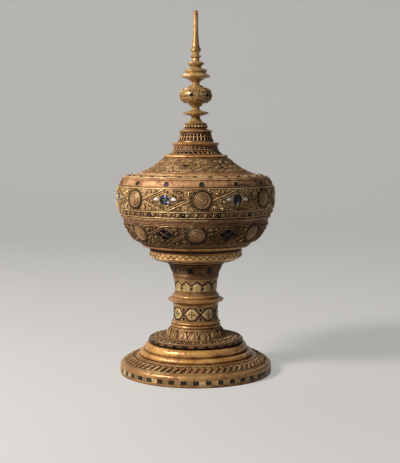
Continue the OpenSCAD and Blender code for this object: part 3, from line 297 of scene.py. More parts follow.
class Relief:
    """Ornament laid on walls and gathered into one mesh."""

    def __init__(self):
        self.xyz = []
        self.crest = []
        self.faces = []
        self.total = 0

    def lay(self, pattern, place):
        points = np.vstack(pattern.points)
        self.xyz.append(place(points))
        self.crest.append(np.hstack(pattern.crest))
        self.faces.append((pattern.faces, self.total))
        self.total += len(points)

    def wrap(self, pattern, wall, count, turn=0.0):
        """Repeats a pattern round a wall, the first copy at the given turn in degrees."""
        for k in range(count):
            first = math.radians(turn) + TAU * k / count
            self.lay(pattern, lambda p: wall.place(first + p[:, 0] / wall.mid_r, p[:, 1], p[:, 2]))

    def seat(self, pattern, wall, z, count, turn):
        """Sets a flat pattern on a wall at a height, repeated round it."""
        for k in range(count):
            point, around, up, out = wall.axes(z, math.radians(turn) + TAU * k / count)
            directions = np.stack([around, up, out])
            self.lay(pattern, lambda p: point + p @ directions)

    def rail(self, wall, y, width, height, steps=180, section=ROUND):
        """A ridge right round a wall."""
        pattern = Pattern()
        path = line((0, y), (TAU * wall.mid_r, y), steps)[:-1]
        across, rise = section
        k = len(across)
        flat = np.repeat(path[:, None], k, axis=1)
        flat[:, :, 1] += across * width / 2
        lift = np.broadcast_to(-SINK + (height + SINK) * rise, (steps, k))
        # The section runs the other way here, so each face is turned over.
        faces = ring_quads(steps, k, closed=True)[:, [0, 3, 2, 1]]
        pattern.add(np.dstack([flat, lift]).reshape(-1, 3), np.tile(rise, steps), list(faces))
        self.lay(pattern, lambda p: wall.place(p[:, 0] / wall.mid_r, p[:, 1], p[:, 2]))

    def rails(self, wall, *rows):
        """Ridges right round a wall, each given by its place, width and height."""
        for y, width, height in rows:
            self.rail(wall, y, width, height)

    def make(self, name, body, material):
        sizes = []
        corners = []
        for faces, offset in self.faces:
            sizes.append(np.fromiter((len(f) for f in faces), int, len(faces)))
            corners.append(np.concatenate(faces) + offset)
        sizes = np.concatenate(sizes)
        corners = np.concatenate(corners)
        mesh = bpy.data.meshes.new(name)
        mesh.vertices.add(self.total)
        mesh.vertices.foreach_set("co", (np.vstack(self.xyz) * MM).ravel())
        mesh.loops.add(len(corners))
        mesh.loops.foreach_set("vertex_index", corners)
        mesh.polygons.add(len(sizes))
        mesh.polygons.foreach_set("loop_start", np.r_[0, np.cumsum(sizes)[:-1]])
        mesh.update(calc_edges=True)
        mesh.polygons.foreach_set("use_smooth", np.ones(len(sizes), bool))
        crest = mesh.attributes.new("crest", "FLOAT", "POINT")
        crest.data.foreach_set("value", np.hstack(self.crest))
        piece = bpy.data.objects.new(name, mesh)
        bpy.context.scene.collection.objects.link(piece)
        mesh.materials.append(material)
        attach(piece, body)
        return piece


# Materials


class Shader:
    """A procedural material or world, built from a few node helpers."""

    def __init__(self, name, world=False):
        self.material = (bpy.data.worlds if world else bpy.data.materials).new(name)
        self.material.use_nodes = True
        self.tree = self.material.node_tree
        self.bsdf = self.tree.nodes["Background" if world else "Principled BSDF"]
        if not world:
            self.place = self.node("ShaderNodeTexCoord").outputs["Object"]

    def node(self, kind, **settings):
        made = self.tree.nodes.new(kind)
        for key, value in settings.items():
            setattr(made, key, value)
        return made

    def put(self, socket, value):
        if isinstance(value, bpy.types.NodeSocket):
            self.tree.links.new(value, socket)
        else:
            socket.default_value = value

    def set(self, **inputs):
        for key, value in inputs.items():
            self.put(self.bsdf.inputs[key.replace("_", " ")], value)

    def noise(self, scale, detail, stretch=None, rough=0.55):
        made = self.node("ShaderNodeTexNoise")
        made.inputs["Scale"].default_value = scale
        made.inputs["Detail"].default_value = detail
        made.inputs["Roughness"].default_value = rough
        place = self.place
        if stretch:
            mapping = self.node("ShaderNodeMapping")
            mapping.inputs["Scale"].default_value = stretch
            self.tree.links.new(place, mapping.inputs["Vector"])
            place = mapping.outputs["Vector"]
        self.tree.links.new(place, made.inputs["Vector"])
        return made.outputs["Fac"]

    def ramp(self, value, low, high, start=0.0, end=1.0):
        """Smooth step from start at low to end at high."""
        made = self.node("ShaderNodeMapRange", interpolation_type="SMOOTHSTEP")
        for key, number in zip((1, 2, 3, 4), (low, high, start, end)):
            made.inputs[key].default_value = number
        self.put(made.inputs[0], value)
        return made.outputs[0]

    def math(self, operation, a, b):
        made = self.node("ShaderNodeMath", operation=operation)
        self.put(made.inputs[0], a)
        self.put(made.inputs[1], b)
        return made.outputs[0]

    def mix(self, factor, a, b):
        """Colour between a and b; inputs 6 and 7 and output 2 are the colour ones."""
        made = self.node("ShaderNodeMix", data_type="RGBA")
        self.put(made.inputs[0], factor)
        for socket, value in ((made.inputs[6], a), (made.inputs[7], b)):
            self.put(socket, (*value, 1) if isinstance(value, tuple) else value)
        return made.outputs[2]

    def bump(self, height, strength, distance):
        made = self.node("ShaderNodeBump")
        made.inputs["Strength"].default_value = strength
        made.inputs["Distance"].default_value = distance
        self.put(made.inputs["Height"], height)
        self.put(self.bsdf.inputs["Normal"], made.outputs["Normal"])

    def hollows(self, distance):
        """1 in the open, falling to 0 in creases."""
        made = self.node("ShaderNodeAmbientOcclusion", samples=8)
        made.inputs["Distance"].default_value = distance
        return made.outputs["AO"]

    def crest(self):
        """Height within an ornament, 0 at its foot and 1 at its top."""
        return self.node("ShaderNodeAttribute", attribute_name="crest").outputs["Fac"]

    def vector(self, operation, *values):
        made = self.node("ShaderNodeVectorMath", operation=operation)
        for socket, value in zip(made.inputs, values):
            self.put(socket, value)
        return made.outputs

    def inward(self):
        """1 on faces that look at the turning axis."""
        flat = self.vector("MULTIPLY", self.place, (1, 1, 0))["Vector"]
        away = self.vector("NORMALIZE", flat)["Vector"]
        normal = self.node("ShaderNodeNewGeometry").outputs["True Normal"]
        facing = self.vector("DOT_PRODUCT", away, normal)["Value"]
        return self.ramp(facing, -0.02, -0.1)

    def seen(self):
        """1 for rays that show a surface: straight, mirrored or through glass."""
        rays = self.node("ShaderNodeLightPath").outputs
        mirrored = self.math("MAXIMUM", rays["Is Glossy Ray"], rays["Is Transmission Ray"])
        return self.math("MAXIMUM", rays["Is Camera Ray"], mirrored)

    def island(self):
        """A chance number for each loose piece of a mesh."""
        return self.node("ShaderNodeNewGeometry").outputs["Random Per Island"]


# Colour of painted shade, with some soiling, in creases and low in ornament
SHADE_AND_GRIME = (0.016, 0.009, 0.005)
DUST = (0.05, 0.035, 0.022)
# Lacquer that shows where the leaf is rubbed off, and the two tones of the red lining
RUBBED_RED = (0.21, 0.075, 0.032)
LINING_DARK = (0.16, 0.022, 0.012)
LINING_LIGHT = (0.30, 0.045, 0.02)


def gilt(name, gold, deep, wear, rough, shade_and_grime=0.95, streak=0.35, crest=False, inside=False):
    """Gold leaf over red lacquer: uneven leaf, rubbed patches, and painted shade with some real soiling
    in the creases; with crest, painted shade low in each ornament.
    """
    s = Shader(name)
    tone = s.ramp(s.noise(26, 5), 0.32, 0.68)
    colour = s.mix(tone, deep, gold)
    fleck = s.ramp(s.noise(420, 3), 0.45, 0.75, 0, 0.35)
    colour = s.mix(fleck, colour, tuple(min(1, 1.5 * c) for c in gold))
    lines = s.noise(1, 4, (5, 5, 420))
    rubbed = s.math("ADD", s.noise(70, 7, rough=0.66), s.math("MULTIPLY", lines, streak))
    worn = s.ramp(rubbed, 0.62 + streak / 2 - wear * 0.25, 0.74 + streak / 2 - wear * 0.25)
    colour = s.mix(s.math("MULTIPLY", worn, 0.75), colour, RUBBED_RED)
    # Painted shade: darker in creases, and with crest also darker low in each ornament and full colour
    # at its top.
    unshaded = s.ramp(s.hollows(0.009), 0.25, 0.92)
    if crest:
        unshaded = s.math("MULTIPLY", unshaded, s.ramp(s.crest(), 0.2, 0.92, 0.05, 1))
    shade_and_dirt = s.math("MULTIPLY", s.math("SUBTRACT", 1.0, unshaded), shade_and_grime)
    # Random blotches of real soiling, added to the painted shade.
    blotch = s.ramp(s.noise(45, 6), 0.58, 0.74, 0, 0.45 * shade_and_grime)
    shade_and_dirt = s.math("MAXIMUM", shade_and_dirt, blotch)
    colour = s.mix(shade_and_dirt, colour, SHADE_AND_GRIME)
    metal = s.math("SUBTRACT", 0.42, s.math("MULTIPLY", s.math("MAXIMUM", shade_and_dirt, worn), 0.4))
    shine = s.math("MULTIPLY", s.math("SUBTRACT", 1.0, shade_and_dirt), 0.35)
    gloss = s.ramp(s.noise(130, 5), 0.3, 0.75, rough - 0.08, rough + 0.16)
    gloss = s.math("ADD", gloss, s.math("MULTIPLY", shade_and_dirt, 0.25))
    if inside:
        lining = s.inward()
        red = s.mix(s.noise(30, 5), LINING_DARK, LINING_LIGHT)
        colour = s.mix(lining, colour, red)
        metal = s.math("MULTIPLY", metal, s.math("SUBTRACT", 1.0, lining))
    s.set(Base_Color=colour, Metallic=metal, Roughness=gloss, Specular_IOR_Level=shine)
    grain = s.math("ADD", s.noise(900, 3), s.math("MULTIPLY", s.noise(160, 4), 2.0))
    s.bump(grain, 0.35, 0.0004)
    return s.material


def glass(name, dark, light, metal, rough, bright_share, shine=0.5):
    """Foil-backed glass with crazed foil and dust: each piece dark or light at random, partly its own
    tint and partly a painted reflection.
    """
    s = Shader(name)
    # Light pieces stand partly for tint and partly for painted reflections and glints.
    lit = s.ramp(s.island(), 1 - bright_share - 0.1, 1 - bright_share + 0.1)
    foil = s.ramp(s.noise(260, 5), 0.35, 0.7)
    colour = s.mix(s.math("MULTIPLY", lit, s.math("ADD", foil, 0.35)), dark, light)
    dust = s.ramp(s.noise(120, 6), 0.55, 0.78, 0, 0.4)
    colour = s.mix(dust, colour, DUST)
    s.set(Base_Color=colour, Metallic=metal)
    s.set(Roughness=s.ramp(s.noise(200, 4), 0.3, 0.8, rough, rough + 0.3))
    s.set(Specular_IOR_Level=shine)
    s.bump(s.noise(340, 3), 0.25, 0.0003)
    return s.material


def plain_paint(name, low, high, rough, scale, stretch=None, metal=0.0, shine=0.5):
    """Lacquer, wood or iron: two tones, a dull worn surface, and painted shade with some soiling in the
    corners.
    """
    s = Shader(name)
    colour = s.mix(s.ramp(s.noise(scale, 6, stretch), 0.3, 0.7), low, high)
    # Painted shade, with some soiling: darker in corners and creases.
    shade_and_dirt = s.math("SUBTRACT", 1.0, s.ramp(s.hollows(0.012), 0.2, 0.9))
    colour = s.mix(s.math("MULTIPLY", shade_and_dirt, 0.6), colour, SHADE_AND_GRIME)
    s.set(Base_Color=colour, Metallic=metal, Specular_IOR_Level=shine)
    s.set(Roughness=s.ramp(s.noise(90, 5), 0.3, 0.75, rough, rough + 0.22))
    s.bump(s.noise(500, 4, stretch), 0.3, 0.0004)
    return s.material


# One relief gilt in three brightnesses: the dimmer copies are painted shade, set part by part to how
# dark each part stands, the dimmest on the bowl and neck.
RELIEF = gilt("gilt_relief", (0.92, 0.62, 0.30), (0.62, 0.35, 0.13), wear=0.2, rough=0.34, crest=True)
MID_RELIEF = gilt(
    "gilt_mid_relief", (0.60, 0.39, 0.18), (0.34, 0.185, 0.07),
    wear=0.35, rough=0.4, crest=True,
)
DIM_RELIEF = gilt(
    "gilt_dim_relief", (0.50, 0.31, 0.14), (0.26, 0.135, 0.054),
    wear=0.35, rough=0.4, crest=True,
)
# Grounds under the ornament, darker than the relief on them: painted shade in the recesses, darkest on
# the neck, spire drums and bowl, lighter on the lid.
GROUND = gilt(
    "gilt_ground", (0.12, 0.056, 0.022), (0.05, 0.022, 0.010),
    wear=0.5, shade_and_grime=0.9, rough=0.5, streak=0.1,
)
LID_GROUND = gilt(
    "gilt_lid_ground", (0.48, 0.29, 0.13), (0.24, 0.12, 0.048),
    wear=0.4, shade_and_grime=0.9, rough=0.42, streak=0.1, inside=True,
)
BOWL_GROUND = gilt(
    "gilt_bowl_ground", (0.12, 0.066, 0.03), (0.045, 0.022, 0.010),
    wear=0.5, shade_and_grime=0.9, rough=0.5, streak=0.1, inside=True,
)
PLAIN = gilt("gilt_plain", (0.74, 0.41, 0.14), (0.46, 0.21, 0.062), wear=0.45, rough=0.3)
PLAIN_LINED = gilt(
    "gilt_plain_lined", (0.68, 0.36, 0.13), (0.42, 0.185, 0.06),
    wear=0.6, rough=0.34, inside=True,
)
BRIGHT = gilt("gilt_bright", (0.92, 0.58, 0.25), (0.60, 0.32, 0.11), wear=0.4, shade_and_grime=0.9, rough=0.32)
RUDDY = gilt("gilt_ruddy", (0.36, 0.205, 0.105), (0.19, 0.09, 0.044), wear=0.7, rough=0.45)
BORDER = gilt(
    "gilt_border", (0.58, 0.34, 0.165), (0.39, 0.195, 0.085),
    wear=0.6, shade_and_grime=0.9, rough=0.6, inside=True,
)
MATTE = gilt("gilt_matte", (0.54, 0.32, 0.135), (0.29, 0.145, 0.052), wear=0.5, rough=0.62)
# A dimmer copy of the plain gilt: painted shade on the plinth, the stem's ring and knop, and some spire
# rings.
DIM_PLAIN = gilt("gilt_dim_plain", (0.50, 0.285, 0.11), (0.27, 0.125, 0.042), wear=0.5, rough=0.32)
YELLOW = gilt("gilt_yellow", (0.56, 0.365, 0.145), (0.31, 0.17, 0.057), wear=0.4, rough=0.26)
DRUM = gilt(
    "gilt_drum", (0.40, 0.245, 0.10), (0.22, 0.115, 0.042),
    wear=0.45, shade_and_grime=0.9, rough=0.36, streak=0.2,
)
PALE = gilt(
    "gilt_pale", (0.60, 0.43, 0.19), (0.31, 0.19, 0.075),
    wear=0.35, shade_and_grime=0.9, rough=0.36, streak=0.2,
)
# Dark gilt: dark lines of the pattern, and painted shade on grounds, undersides and the bosses between
# their rings.
DARK_GILT_AND_SHADE = gilt("gilt_dark_and_shade", (0.16, 0.085, 0.036), (0.04, 0.02, 0.010), wear=0.4, rough=0.45, streak=0.1)
SHADE = gilt(
    "gilt_shade", (0.085, 0.046, 0.020), (0.028, 0.015, 0.007),
    wear=0.1, rough=0.5, streak=0.1,
)
BLACK = plain_paint(
    "black_lacquer", (0.007, 0.005, 0.003), (0.022, 0.014, 0.008),
    rough=0.5, scale=60, shine=0.15,
)
RED_LACQUER = plain_paint("red_lacquer", (0.15, 0.02, 0.012), (0.30, 0.045, 0.02), rough=0.28, scale=24)
WOOD = plain_paint(
    "bare_wood", (0.16, 0.085, 0.04), (0.30, 0.18, 0.09),
    rough=0.55, scale=3, stretch=(20, 20, 2),
)
IRON = plain_paint("iron", (0.05, 0.045, 0.042), (0.14, 0.12, 0.11), rough=0.45, scale=80, metal=0.7)
MIRROR = glass(
    "pale_mirror", (0.21, 0.13, 0.062), (0.70, 0.475, 0.24),
    metal=0.08, rough=0.42, bright_share=0.78, shine=0.15,
)
LEAF_MIRROR = glass(
    "leaf_mirror", (0.40, 0.345, 0.27), (0.80, 0.75, 0.68),
    metal=0.3, rough=0.25, bright_share=0.6,
)
AMBER = glass(
    "amber_glass", (0.020, 0.011, 0.005), (0.020, 0.032, 0.018),
    metal=0.1, rough=0.3, bright_share=0.3, shine=0.3,
)
DARK_GLASS = glass(
    "dark_glass", (0.004, 0.004, 0.004), (0.012, 0.016, 0.014),
    metal=0.05, rough=0.3, bright_share=0.35, shine=0.15,
)
VIOLET = glass(
    "violet_glass", (0.006, 0.008, 0.022), (0.46, 0.46, 0.66),
    metal=0.2, rough=0.14, bright_share=0.3, shine=0.4,
)
GREEN = glass(
    "green_glass", (0.02, 0.034, 0.022), (0.07, 0.115, 0.075),
    metal=0.15, rough=0.2, bright_share=0.5, shine=0.4,
)
PURPLE = glass(
    "border_gem_glass", (0.018, 0.026, 0.016), (0.06, 0.014, 0.085),
    metal=0.05, rough=0.5, bright_share=0.3, shine=0.15,
)
INK = glass(
    "diamond_glass", (0.002, 0.002, 0.005), (0.006, 0.007, 0.014),
    metal=0.0, rough=0.45, bright_share=0.35, shine=0.08,
)

SURFACES = {
    GROUND: "stem_neck spire_gallery spire_fluted_drum",
    # Painted shade on the foot disc under its leaves and on the bosses between their rings.
    DARK_GILT_AND_SHADE: "foot_disc lid_bosses bowl_bosses",
    SHADE: "lid_boss_frames bowl_boss_frames",
    MATTE: "lotus_flare",
    BOWL_GROUND: "bowl_wall",
    LID_GROUND: "lid_drum lid_cone",
    PLAIN: "foot_step",
    BRIGHT: "bowl_flange",
    DIM_PLAIN: "foot_plinth stem_lower_ring stem_knop spire_cornice spire_cap spire_bead_collar",
    YELLOW: """spire_neck spire_lower_disc spire_bulb spire_ring_1 spire_ring_2 spire_ring_3
        spire_ring_4 spire_finial""",
    PLAIN_LINED: "bowl_base lid_crown",
    BORDER: "lid_shoulder lid_border",
    RUDDY: "bowl_rim lid_hoop",
    PALE: "spire_beads",
    DRUM: "stem_lower_drum stem_upper_drum",
    RED_LACQUER: "bowl_collar inner_tray",
    WOOD: "spire_plug",
    IRON: "spire_rod",
    MIRROR: "foot_rim_tiles",
    LEAF_MIRROR: "lid_flower_leaves",
    AMBER: "foot_rim_dark_tiles",
    DARK_GLASS: """foot_disc_studs stem_lower_dots stem_lower_flowers
        stem_upper_dots stem_neck_panels lid_lower_gems lid_shoulder_dashes
        lid_cone_gems spire_bulb_eyes""",
    INK: "bowl_diamonds",
    VIOLET: "lid_flower_petals",
    GREEN: "lid_flower_centres",
    PURPLE: "lid_upper_gems",
}
# Points closer than this are one, in metres, and edges sharper than this stay sharp.
WELD_GAP = 0.00001
SHARP_EDGE = math.radians(35)


def dress_nodes():
    """Gives each solid its material, and smooth faces between its sharp edges."""
    for material, names in SURFACES.items():
        for name in names.split():
            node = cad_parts[name]
            node.data.materials.clear()
            node.data.materials.append(material)
            normals = node.data.attributes.get("custom_normal")
            if normals:
                node.data.attributes.remove(normals)
            node.data.polygons.foreach_set("use_smooth", np.ones(len(node.data.polygons), bool))
            weld = node.modifiers.new("weld", "WELD")
            weld.merge_threshold = WELD_GAP
            split = node.modifiers.new("edges", "EDGE_SPLIT")
            split.split_angle = SHARP_EDGE


# Places on the solids

# Outlines that carry ornament, as radius and height
FOOT_SLOPE = Wall([(145, 23.5), (121, 34.5)])
FOOT_DISC = Wall([(93, 69.5), (61, 73.5)])
LOTUS_FACE = Wall([(61, 74), (50.5, 91.5)])
LOTUS_HOLLOW = Wall(bow((60.5, 73.5), (50, 92), -2.4))
LOWER_DRUM = Wall([(44.5, 107.7), (44.5, 134.3)])
UPPER_DRUM = Wall([(41.2, 161), (43.6, 188.3)])
NECK_FOOT = Wall([(45.3, 191.6), (46.3, 200.8)])
NECK = Wall([(46.5, 201.5), (53, 216.9)])
NECK_TOP = Wall([(54.5, 218.6), (64, 225.4)])
FLANGE_UNDER = Wall(bow((68, 226.5), (92.5, 235.1), 3))
FLANGE_EDGE = Wall([(92.5, 235.1), (92.5, 244)])
BASE_RECESS = Wall([(91, 248.2), (91.5, 251.8)])
BOWL = Wall(bow((110, 262), (143.5, 306.5), 6))
HOOP = Wall(bow((146.5, 313.5), (147.5, 319.5), 2))
FRIEZE = Wall(bow((149.5, 320), (153.5, 377), 4.7))
LID_BORDER = Wall(bow((152.5, 377.5), (145, 392.5), 1.2))
SHOULDER = Wall([(142.5, 394.5), (113, 399)])
CONE = Wall(bow((106, 403), (65, 430), -3))
GALLERY = Wall([(53, 438)], bow((52.5, 438), (43.5, 448.9), -1.2), [(43, 455)])
FLUTED_DRUM = Wall(bow((35, 463), (29.5, 481), -1))
BULB = Wall(bow((15.5, 538), (15.5, 570), 16, 28))
# Heights of rows of bosses, glass, holes, beads and leaves
BOWL_BOSS_Z = 288.7
LOWER_GEM_Z = 326.3
LID_BOSS_Z = 354.8
BORDER_GEM_Z = 383.5
CONE_GEM_Z = 416
GALLERY_HOLE_Z = 440.75
GALLERY_BEAD_Z = 446.6
GALLERY_LEAF_Z = 448.6
BULB_EYE_Z = 554
# How often things repeat in a turn
CURLS = 64
PETALS = 16
DISC_LEAVES = 32
HEXAGONS = 8
ARCHES = 12
NECK_PANELS = 8
FLANGE_TEETH = 44
RECESS_BEADS = 72
BAYS = 7
HOOP_LEAVES = 56
STROKES = 56
LOWER_GEMS = 14
BORDER_GEMS = 14
DASHES = 28
GALLERY_HOLES = 32
GALLERY_BEADS = 44
FLUTES = 28
BULB_EYES = 6
# Where the first of them stands, in degrees from the front
PETAL_TURN = -4
HEX_TURN = -10
ARCH_TURN = -26
NECK_TURN = -12
FLANGE_TURN = 1.5
BOWL_BOSS_TURN = 0.5
LID_BOSS_TURN = 4.5
CONE_GEM_TURN = -15
BULB_EYE_TURN = -14
# Half the turn from one bay to the next, in degrees
HALF_BAY = 180 / BAYS
# Radii of the scrolls that fill a field
FRIEZE_SCROLLS = (7, 6.2, 5.4, 4.7, 4.1, 3.6, 3.1, 2.7, 2.3, 1.9, 1.5, 1.2)
CONE_SCROLLS = (6.4, 5.6, 4.8, 4.1, 3.5, 3, 2.5, 2.1, 1.7, 1.4)
NECK_SCROLLS = (4.2, 3.4, 2.8, 2.2, 1.5, 1.1)
BULB_SCROLLS = (6, 5, 4.2, 3.4, 2.7, 2.1, 1.5)
# Rise of painted bands, gold leaf and drawn lines, and half a line's width
BAND_RISE = 0.12
PANEL_RISE = 0.25
LINE_RISE = 0.4
LINE_HALF = 1.3
# Half width and height of the strands of a frieze, and how far the inner ones stand in
THIN_STRAND = (0.7, 1.4)
OUTER_STRAND = (1, 2.8)
INNER_STRAND = (0.85, 2.5)
STRAND_GAP = 4
# Room kept at the edge of a bay, and from the middle of a boss by scrolls and by strands
BAY_EDGE = 0.2
BOSS_ROOM = 19.8
STRAND_ROOM = 20.5
# Room of a flower and its leaves: place beside its middle, and radius
FLOWER_ROOMS = ((0, 12), (15, 5), (20, 4))


# Ornament of the foot and stem


def foot_slope():
    """A running guilloche over the solid leaves and eyes of the sloping band."""
    wall = FOOT_SLOPE
    mid = wall.length / 2
    lean = math.radians(32)
    tip = 10.8 * np.array((math.sin(lean), math.cos(lean)))
    # A dark band under the guilloche: painted shade between its curls.
    ground = Relief()
    ground.rail(wall, mid, width=wall.length - 4, height=BAND_RISE, section=FLAT)
    relief = Relief()
    relief.rails(wall, (1.4, 2.2, 1.2), (wall.length - 1.2, 2, 1.2))
    curl = Pattern()
    curl.leaf((-tip[0], mid - tip[1]), (tip[0], mid + tip[1]), width=7.2, height=2.8)
    curl.scroll(-2.6, mid + 5, r=3.9, start=math.radians(-30), hand=1, height=2.7, turns=1.2)
    curl.bead(5.4, mid - 6, r=1.5, h=1.4)
    relief.wrap(curl, wall, CURLS)
    ground.make("foot_guilloche_ground", "stand", DARK_GILT_AND_SHADE)
    relief.make("foot_guilloche", "stand", MID_RELIEF)


def petal_edge(wall):
    """One side of a lotus petal's outline, as cut in the solid."""
    tall = 16.5
    half_w = 10.5
    climb = wall.points[-1, 1] - wall.points[0, 1]
    arc_r = (tall**2 + half_w**2) / (2 * half_w)
    up = np.linspace(0.7, tall - 0.1, 15)
    half = np.sqrt(arc_r**2 - up**2) - arc_r + half_w
    y = (up - 0.5) * wall.length / climb
    return wall.mid_r * np.arcsin(half / wall.at(y)[0]), y


def foot_lotus():
    """Edges and veins of the petals, leaf tips between them, and leaves lying on the disc."""
    x, y = petal_edge(LOTUS_FACE)
    outline = Pattern()
    petal = Pattern()
    for side in (-1, 1):
        outline.sweep(np.stack([side * x, y], axis=1), half=0.75, height=0.35)
        petal.sweep(np.stack([side * x * 0.78, 0.86 * y + 0.6], axis=1), half=0.8, height=1.5)
        for low in (2.5, 6.5):
            root = (side * 0.8, low)
            tip = (side * (5 - 0.25 * low), low + 4)
            petal.leaf(root, tip, width=2.2, height=1.4, bend=0.1 * side)
    petal.leaf((0, 0.8), (0, 15.8), width=3.2, height=2.1)
    sepal = Pattern()
    sepal.leaf((0, 6), (0, 20.4), width=5.6, height=1.9)
    for side in (-1, 1):
        sepal.scroll(side * 4.4, 18, r=2.2, start=math.radians(90), hand=side, height=1.6)
    lying = Pattern()
    lying.leaf((-4.2, 6), (3.6, 15), width=4.8, height=2.1, bend=0.2)
    lying.leaf((5.2, 5.4), (2.2, 9), width=2.8, height=1.7, bend=0.2)
    lying.scroll(-3, 21, r=4.2, start=math.radians(40), hand=1, height=2)
    lying.leaf((2.2, 19), (5.6, 27.5), width=3.6, height=2, bend=-0.1)
    lying.bead(-5.6, 10.5, r=1.5, h=1.6)
    drawn = Relief()
    drawn.wrap(outline, LOTUS_FACE, PETALS, PETAL_TURN)
    relief = Relief()
    relief.wrap(petal, LOTUS_FACE, PETALS, PETAL_TURN)
    relief.wrap(sepal, LOTUS_HOLLOW, PETALS, PETAL_TURN + 180 / PETALS)
    relief.wrap(lying, FOOT_DISC, DISC_LEAVES)
    relief.rails(FOOT_DISC, (1.8, 1.8, 1.1), (FOOT_DISC.length - 1.6, 1.6, 1))
    drawn.make("foot_lotus_lines", "stand", DARK_GILT_AND_SHADE)
    relief.make("foot_lotus_petals", "stand", MID_RELIEF)


def lower_drum():
    """Hexagons drawn in black on pale gold leaf, meeting at their side corners."""
    wall = LOWER_DRUM
    half = math.pi * wall.mid_r / HEXAGONS
    flat = 0.36 * half
    mid = 13.3
    rise = 12.4
    outline = [(-half, mid), (-flat, mid + rise), (flat, mid + rise), (half, mid)]
    lines = Pattern()
    for side in (-1, 1):
        ends = [(x, mid + side * (y - mid)) for x, y in outline]
        for p, q in zip(ends, ends[1:]):
            lines.sweep(line(p, q, 8), LINE_HALF, LINE_RISE, FLAT)
    t = np.linspace(-1, 1, 13)
    width = flat + (half - flat) * (1 - np.abs(t)) - 2.4
    panel = Pattern()
    spine = np.stack([np.zeros_like(t), mid + (rise - 1.4) * t], axis=1)
    panel.sweep(spine, width, PANEL_RISE, FLAT)
    drawn = Relief()
    drawn.wrap(lines, wall, HEXAGONS, HEX_TURN)
    leaf = Relief()
    leaf.wrap(panel, wall, HEXAGONS, HEX_TURN)
    drawn.make("stem_hexagon_lines", "stand", BLACK)
    leaf.make("stem_hexagon_leaf", "stand", PALE)


def upper_drum():
    """A black zigzag over pale gold panels, with a thin line under them."""
    wall = UPPER_DRUM
    half = math.pi * wall.mid_r / ARCHES
    low = 17.4
    high = 24.8
    lines = Pattern()
    for side in (-1, 1):
        lines.sweep(line((side * half, low), (0, high), 6), LINE_HALF, LINE_RISE, FLAT)
    t = np.linspace(0, 1, 13)
    y = 4.8 + (high - 7.2) * t
    width = np.minimum(half - 2.2, (high - 2.0 - y) * half / (high - low))
    panel = Pattern()
    spine = np.stack([np.zeros_like(t), y], axis=1)
    panel.sweep(spine, np.maximum(width, 0.2), PANEL_RISE, FLAT)
    drawn = Relief()
    drawn.wrap(lines, wall, ARCHES, ARCH_TURN)
    drawn.rail(wall, 3.6, width=0.9, height=0.35)
    leaf = Relief()
    leaf.wrap(panel, wall, ARCHES, ARCH_TURN)
    drawn.make("stem_zigzag_lines", "stand", BLACK)
    leaf.make("stem_zigzag_leaf", "stand", PALE)


def neck_fret():
    """Scrolls between the glass panels of the neck, and ruddy rings under and over them."""
    wall = NECK
    half = math.pi * wall.mid_r / NECK_PANELS
    relief = Relief()
    relief.rails(wall, (0.6, 1.2, 1.0), (wall.length - 0.4, 1.2, 1.0))
    tile = Pattern()
    box = (5.2, half, 1.4, wall.length - 1.2)

    def clear(x, y):
        return from_edges(x, y, box[0], box[1] - BAY_EDGE, box[2], box[3])

    tile.fill(clear, box, NECK_SCROLLS, seed=5, height=1.3, mirror=True)
    relief.wrap(tile, wall, NECK_PANELS, NECK_TURN)
    rings = Relief()
    rings.rails(NECK_FOOT, (2, 3.6, 0.9), (6.2, 4, 0.8))
    rings.rails(NECK_TOP, (2.4, 1.4, 0.7), (8.6, 1.6, 0.8))
    relief.make("stem_neck_fret", "stand", DIM_RELIEF)
    rings.make("stem_neck_rings", "stand", RUDDY)


# Ornament of the bowl and lid


def diamond_strands(centre, reach, rise, drop):
    """Strands round a flower or diamond: double where they rise to the right, thin elsewhere.

    Each is given by its ends, half its width and its height.
    """
    middle = np.array((0, centre))
    strands = []
    for side in (-1, 1):
        for height in (rise, -drop):
            tip = np.array((0, centre + height))
            corner = np.array((side * reach, centre))
            if side * height > 0:
                strands.append((corner, tip, *THIN_STRAND))
                continue
            inset = STRAND_GAP / abs(height)
            inner_corner = corner + (middle - corner) * inset
            inner_tip = tip + (middle - tip) * inset
            strands.append((corner, tip, *OUTER_STRAND))
            strands.append((inner_corner, inner_tip, *INNER_STRAND))
    return strands


def frieze_bay(wall, z, low, high, margin, seed, holes, ring_r=None):
    """One bay of a frieze: strands round its middle, and scrolls outside bosses and holes."""
    half = math.pi * wall.mid_r / BAYS
    mid = wall.run_at(z)
    strands = diamond_strands(mid, half - STRAND_ROOM, high - mid - 1, mid - low - 1)
    tile = Pattern()
    for p, q, width, height in strands:
        tile.sweep(line(p, q), width, height)
    if ring_r:
        tile.ring(0, mid, ring_r, half=0.7, height=1.6)
    side = half - BAY_EDGE

    def clear(x, y):
        rooms = [from_line(x, y, p, q, width) for p, q, width, height in strands]
        rooms.append(from_edges(x, y, -side, side, low + margin, high - margin))
        rooms.append(from_circle(np.abs(x), y, half, mid, BOSS_ROOM))
        rooms.extend(holes(np.abs(x), y - mid))
        return np.minimum.reduce(rooms)

    tile.fill(clear, (-half, half, low, high), FRIEZE_SCROLLS, seed, height=2.9)
    return tile


def lid_frieze():
    """Scrolls and strands of the lid, open round the glass flowers and their leaves."""
    wall = FRIEZE
    low = 12.8
    high = wall.length - 1.6

    def holes(x, y):
        return [from_circle(x, y, place, 0, radius) for place, radius in FLOWER_ROOMS]

    tile = frieze_bay(wall, LID_BOSS_Z, low, high, margin=0.6, seed=11, holes=holes, ring_r=11.1)
    relief = Relief()
    relief.wrap(tile, wall, BAYS, LID_BOSS_TURN + HALF_BAY)
    relief.rails(wall, (low, 1.9, 1.8), (high, 1.9, 1.8))
    relief.make("lid_scroll_frieze", "lid", RELIEF)


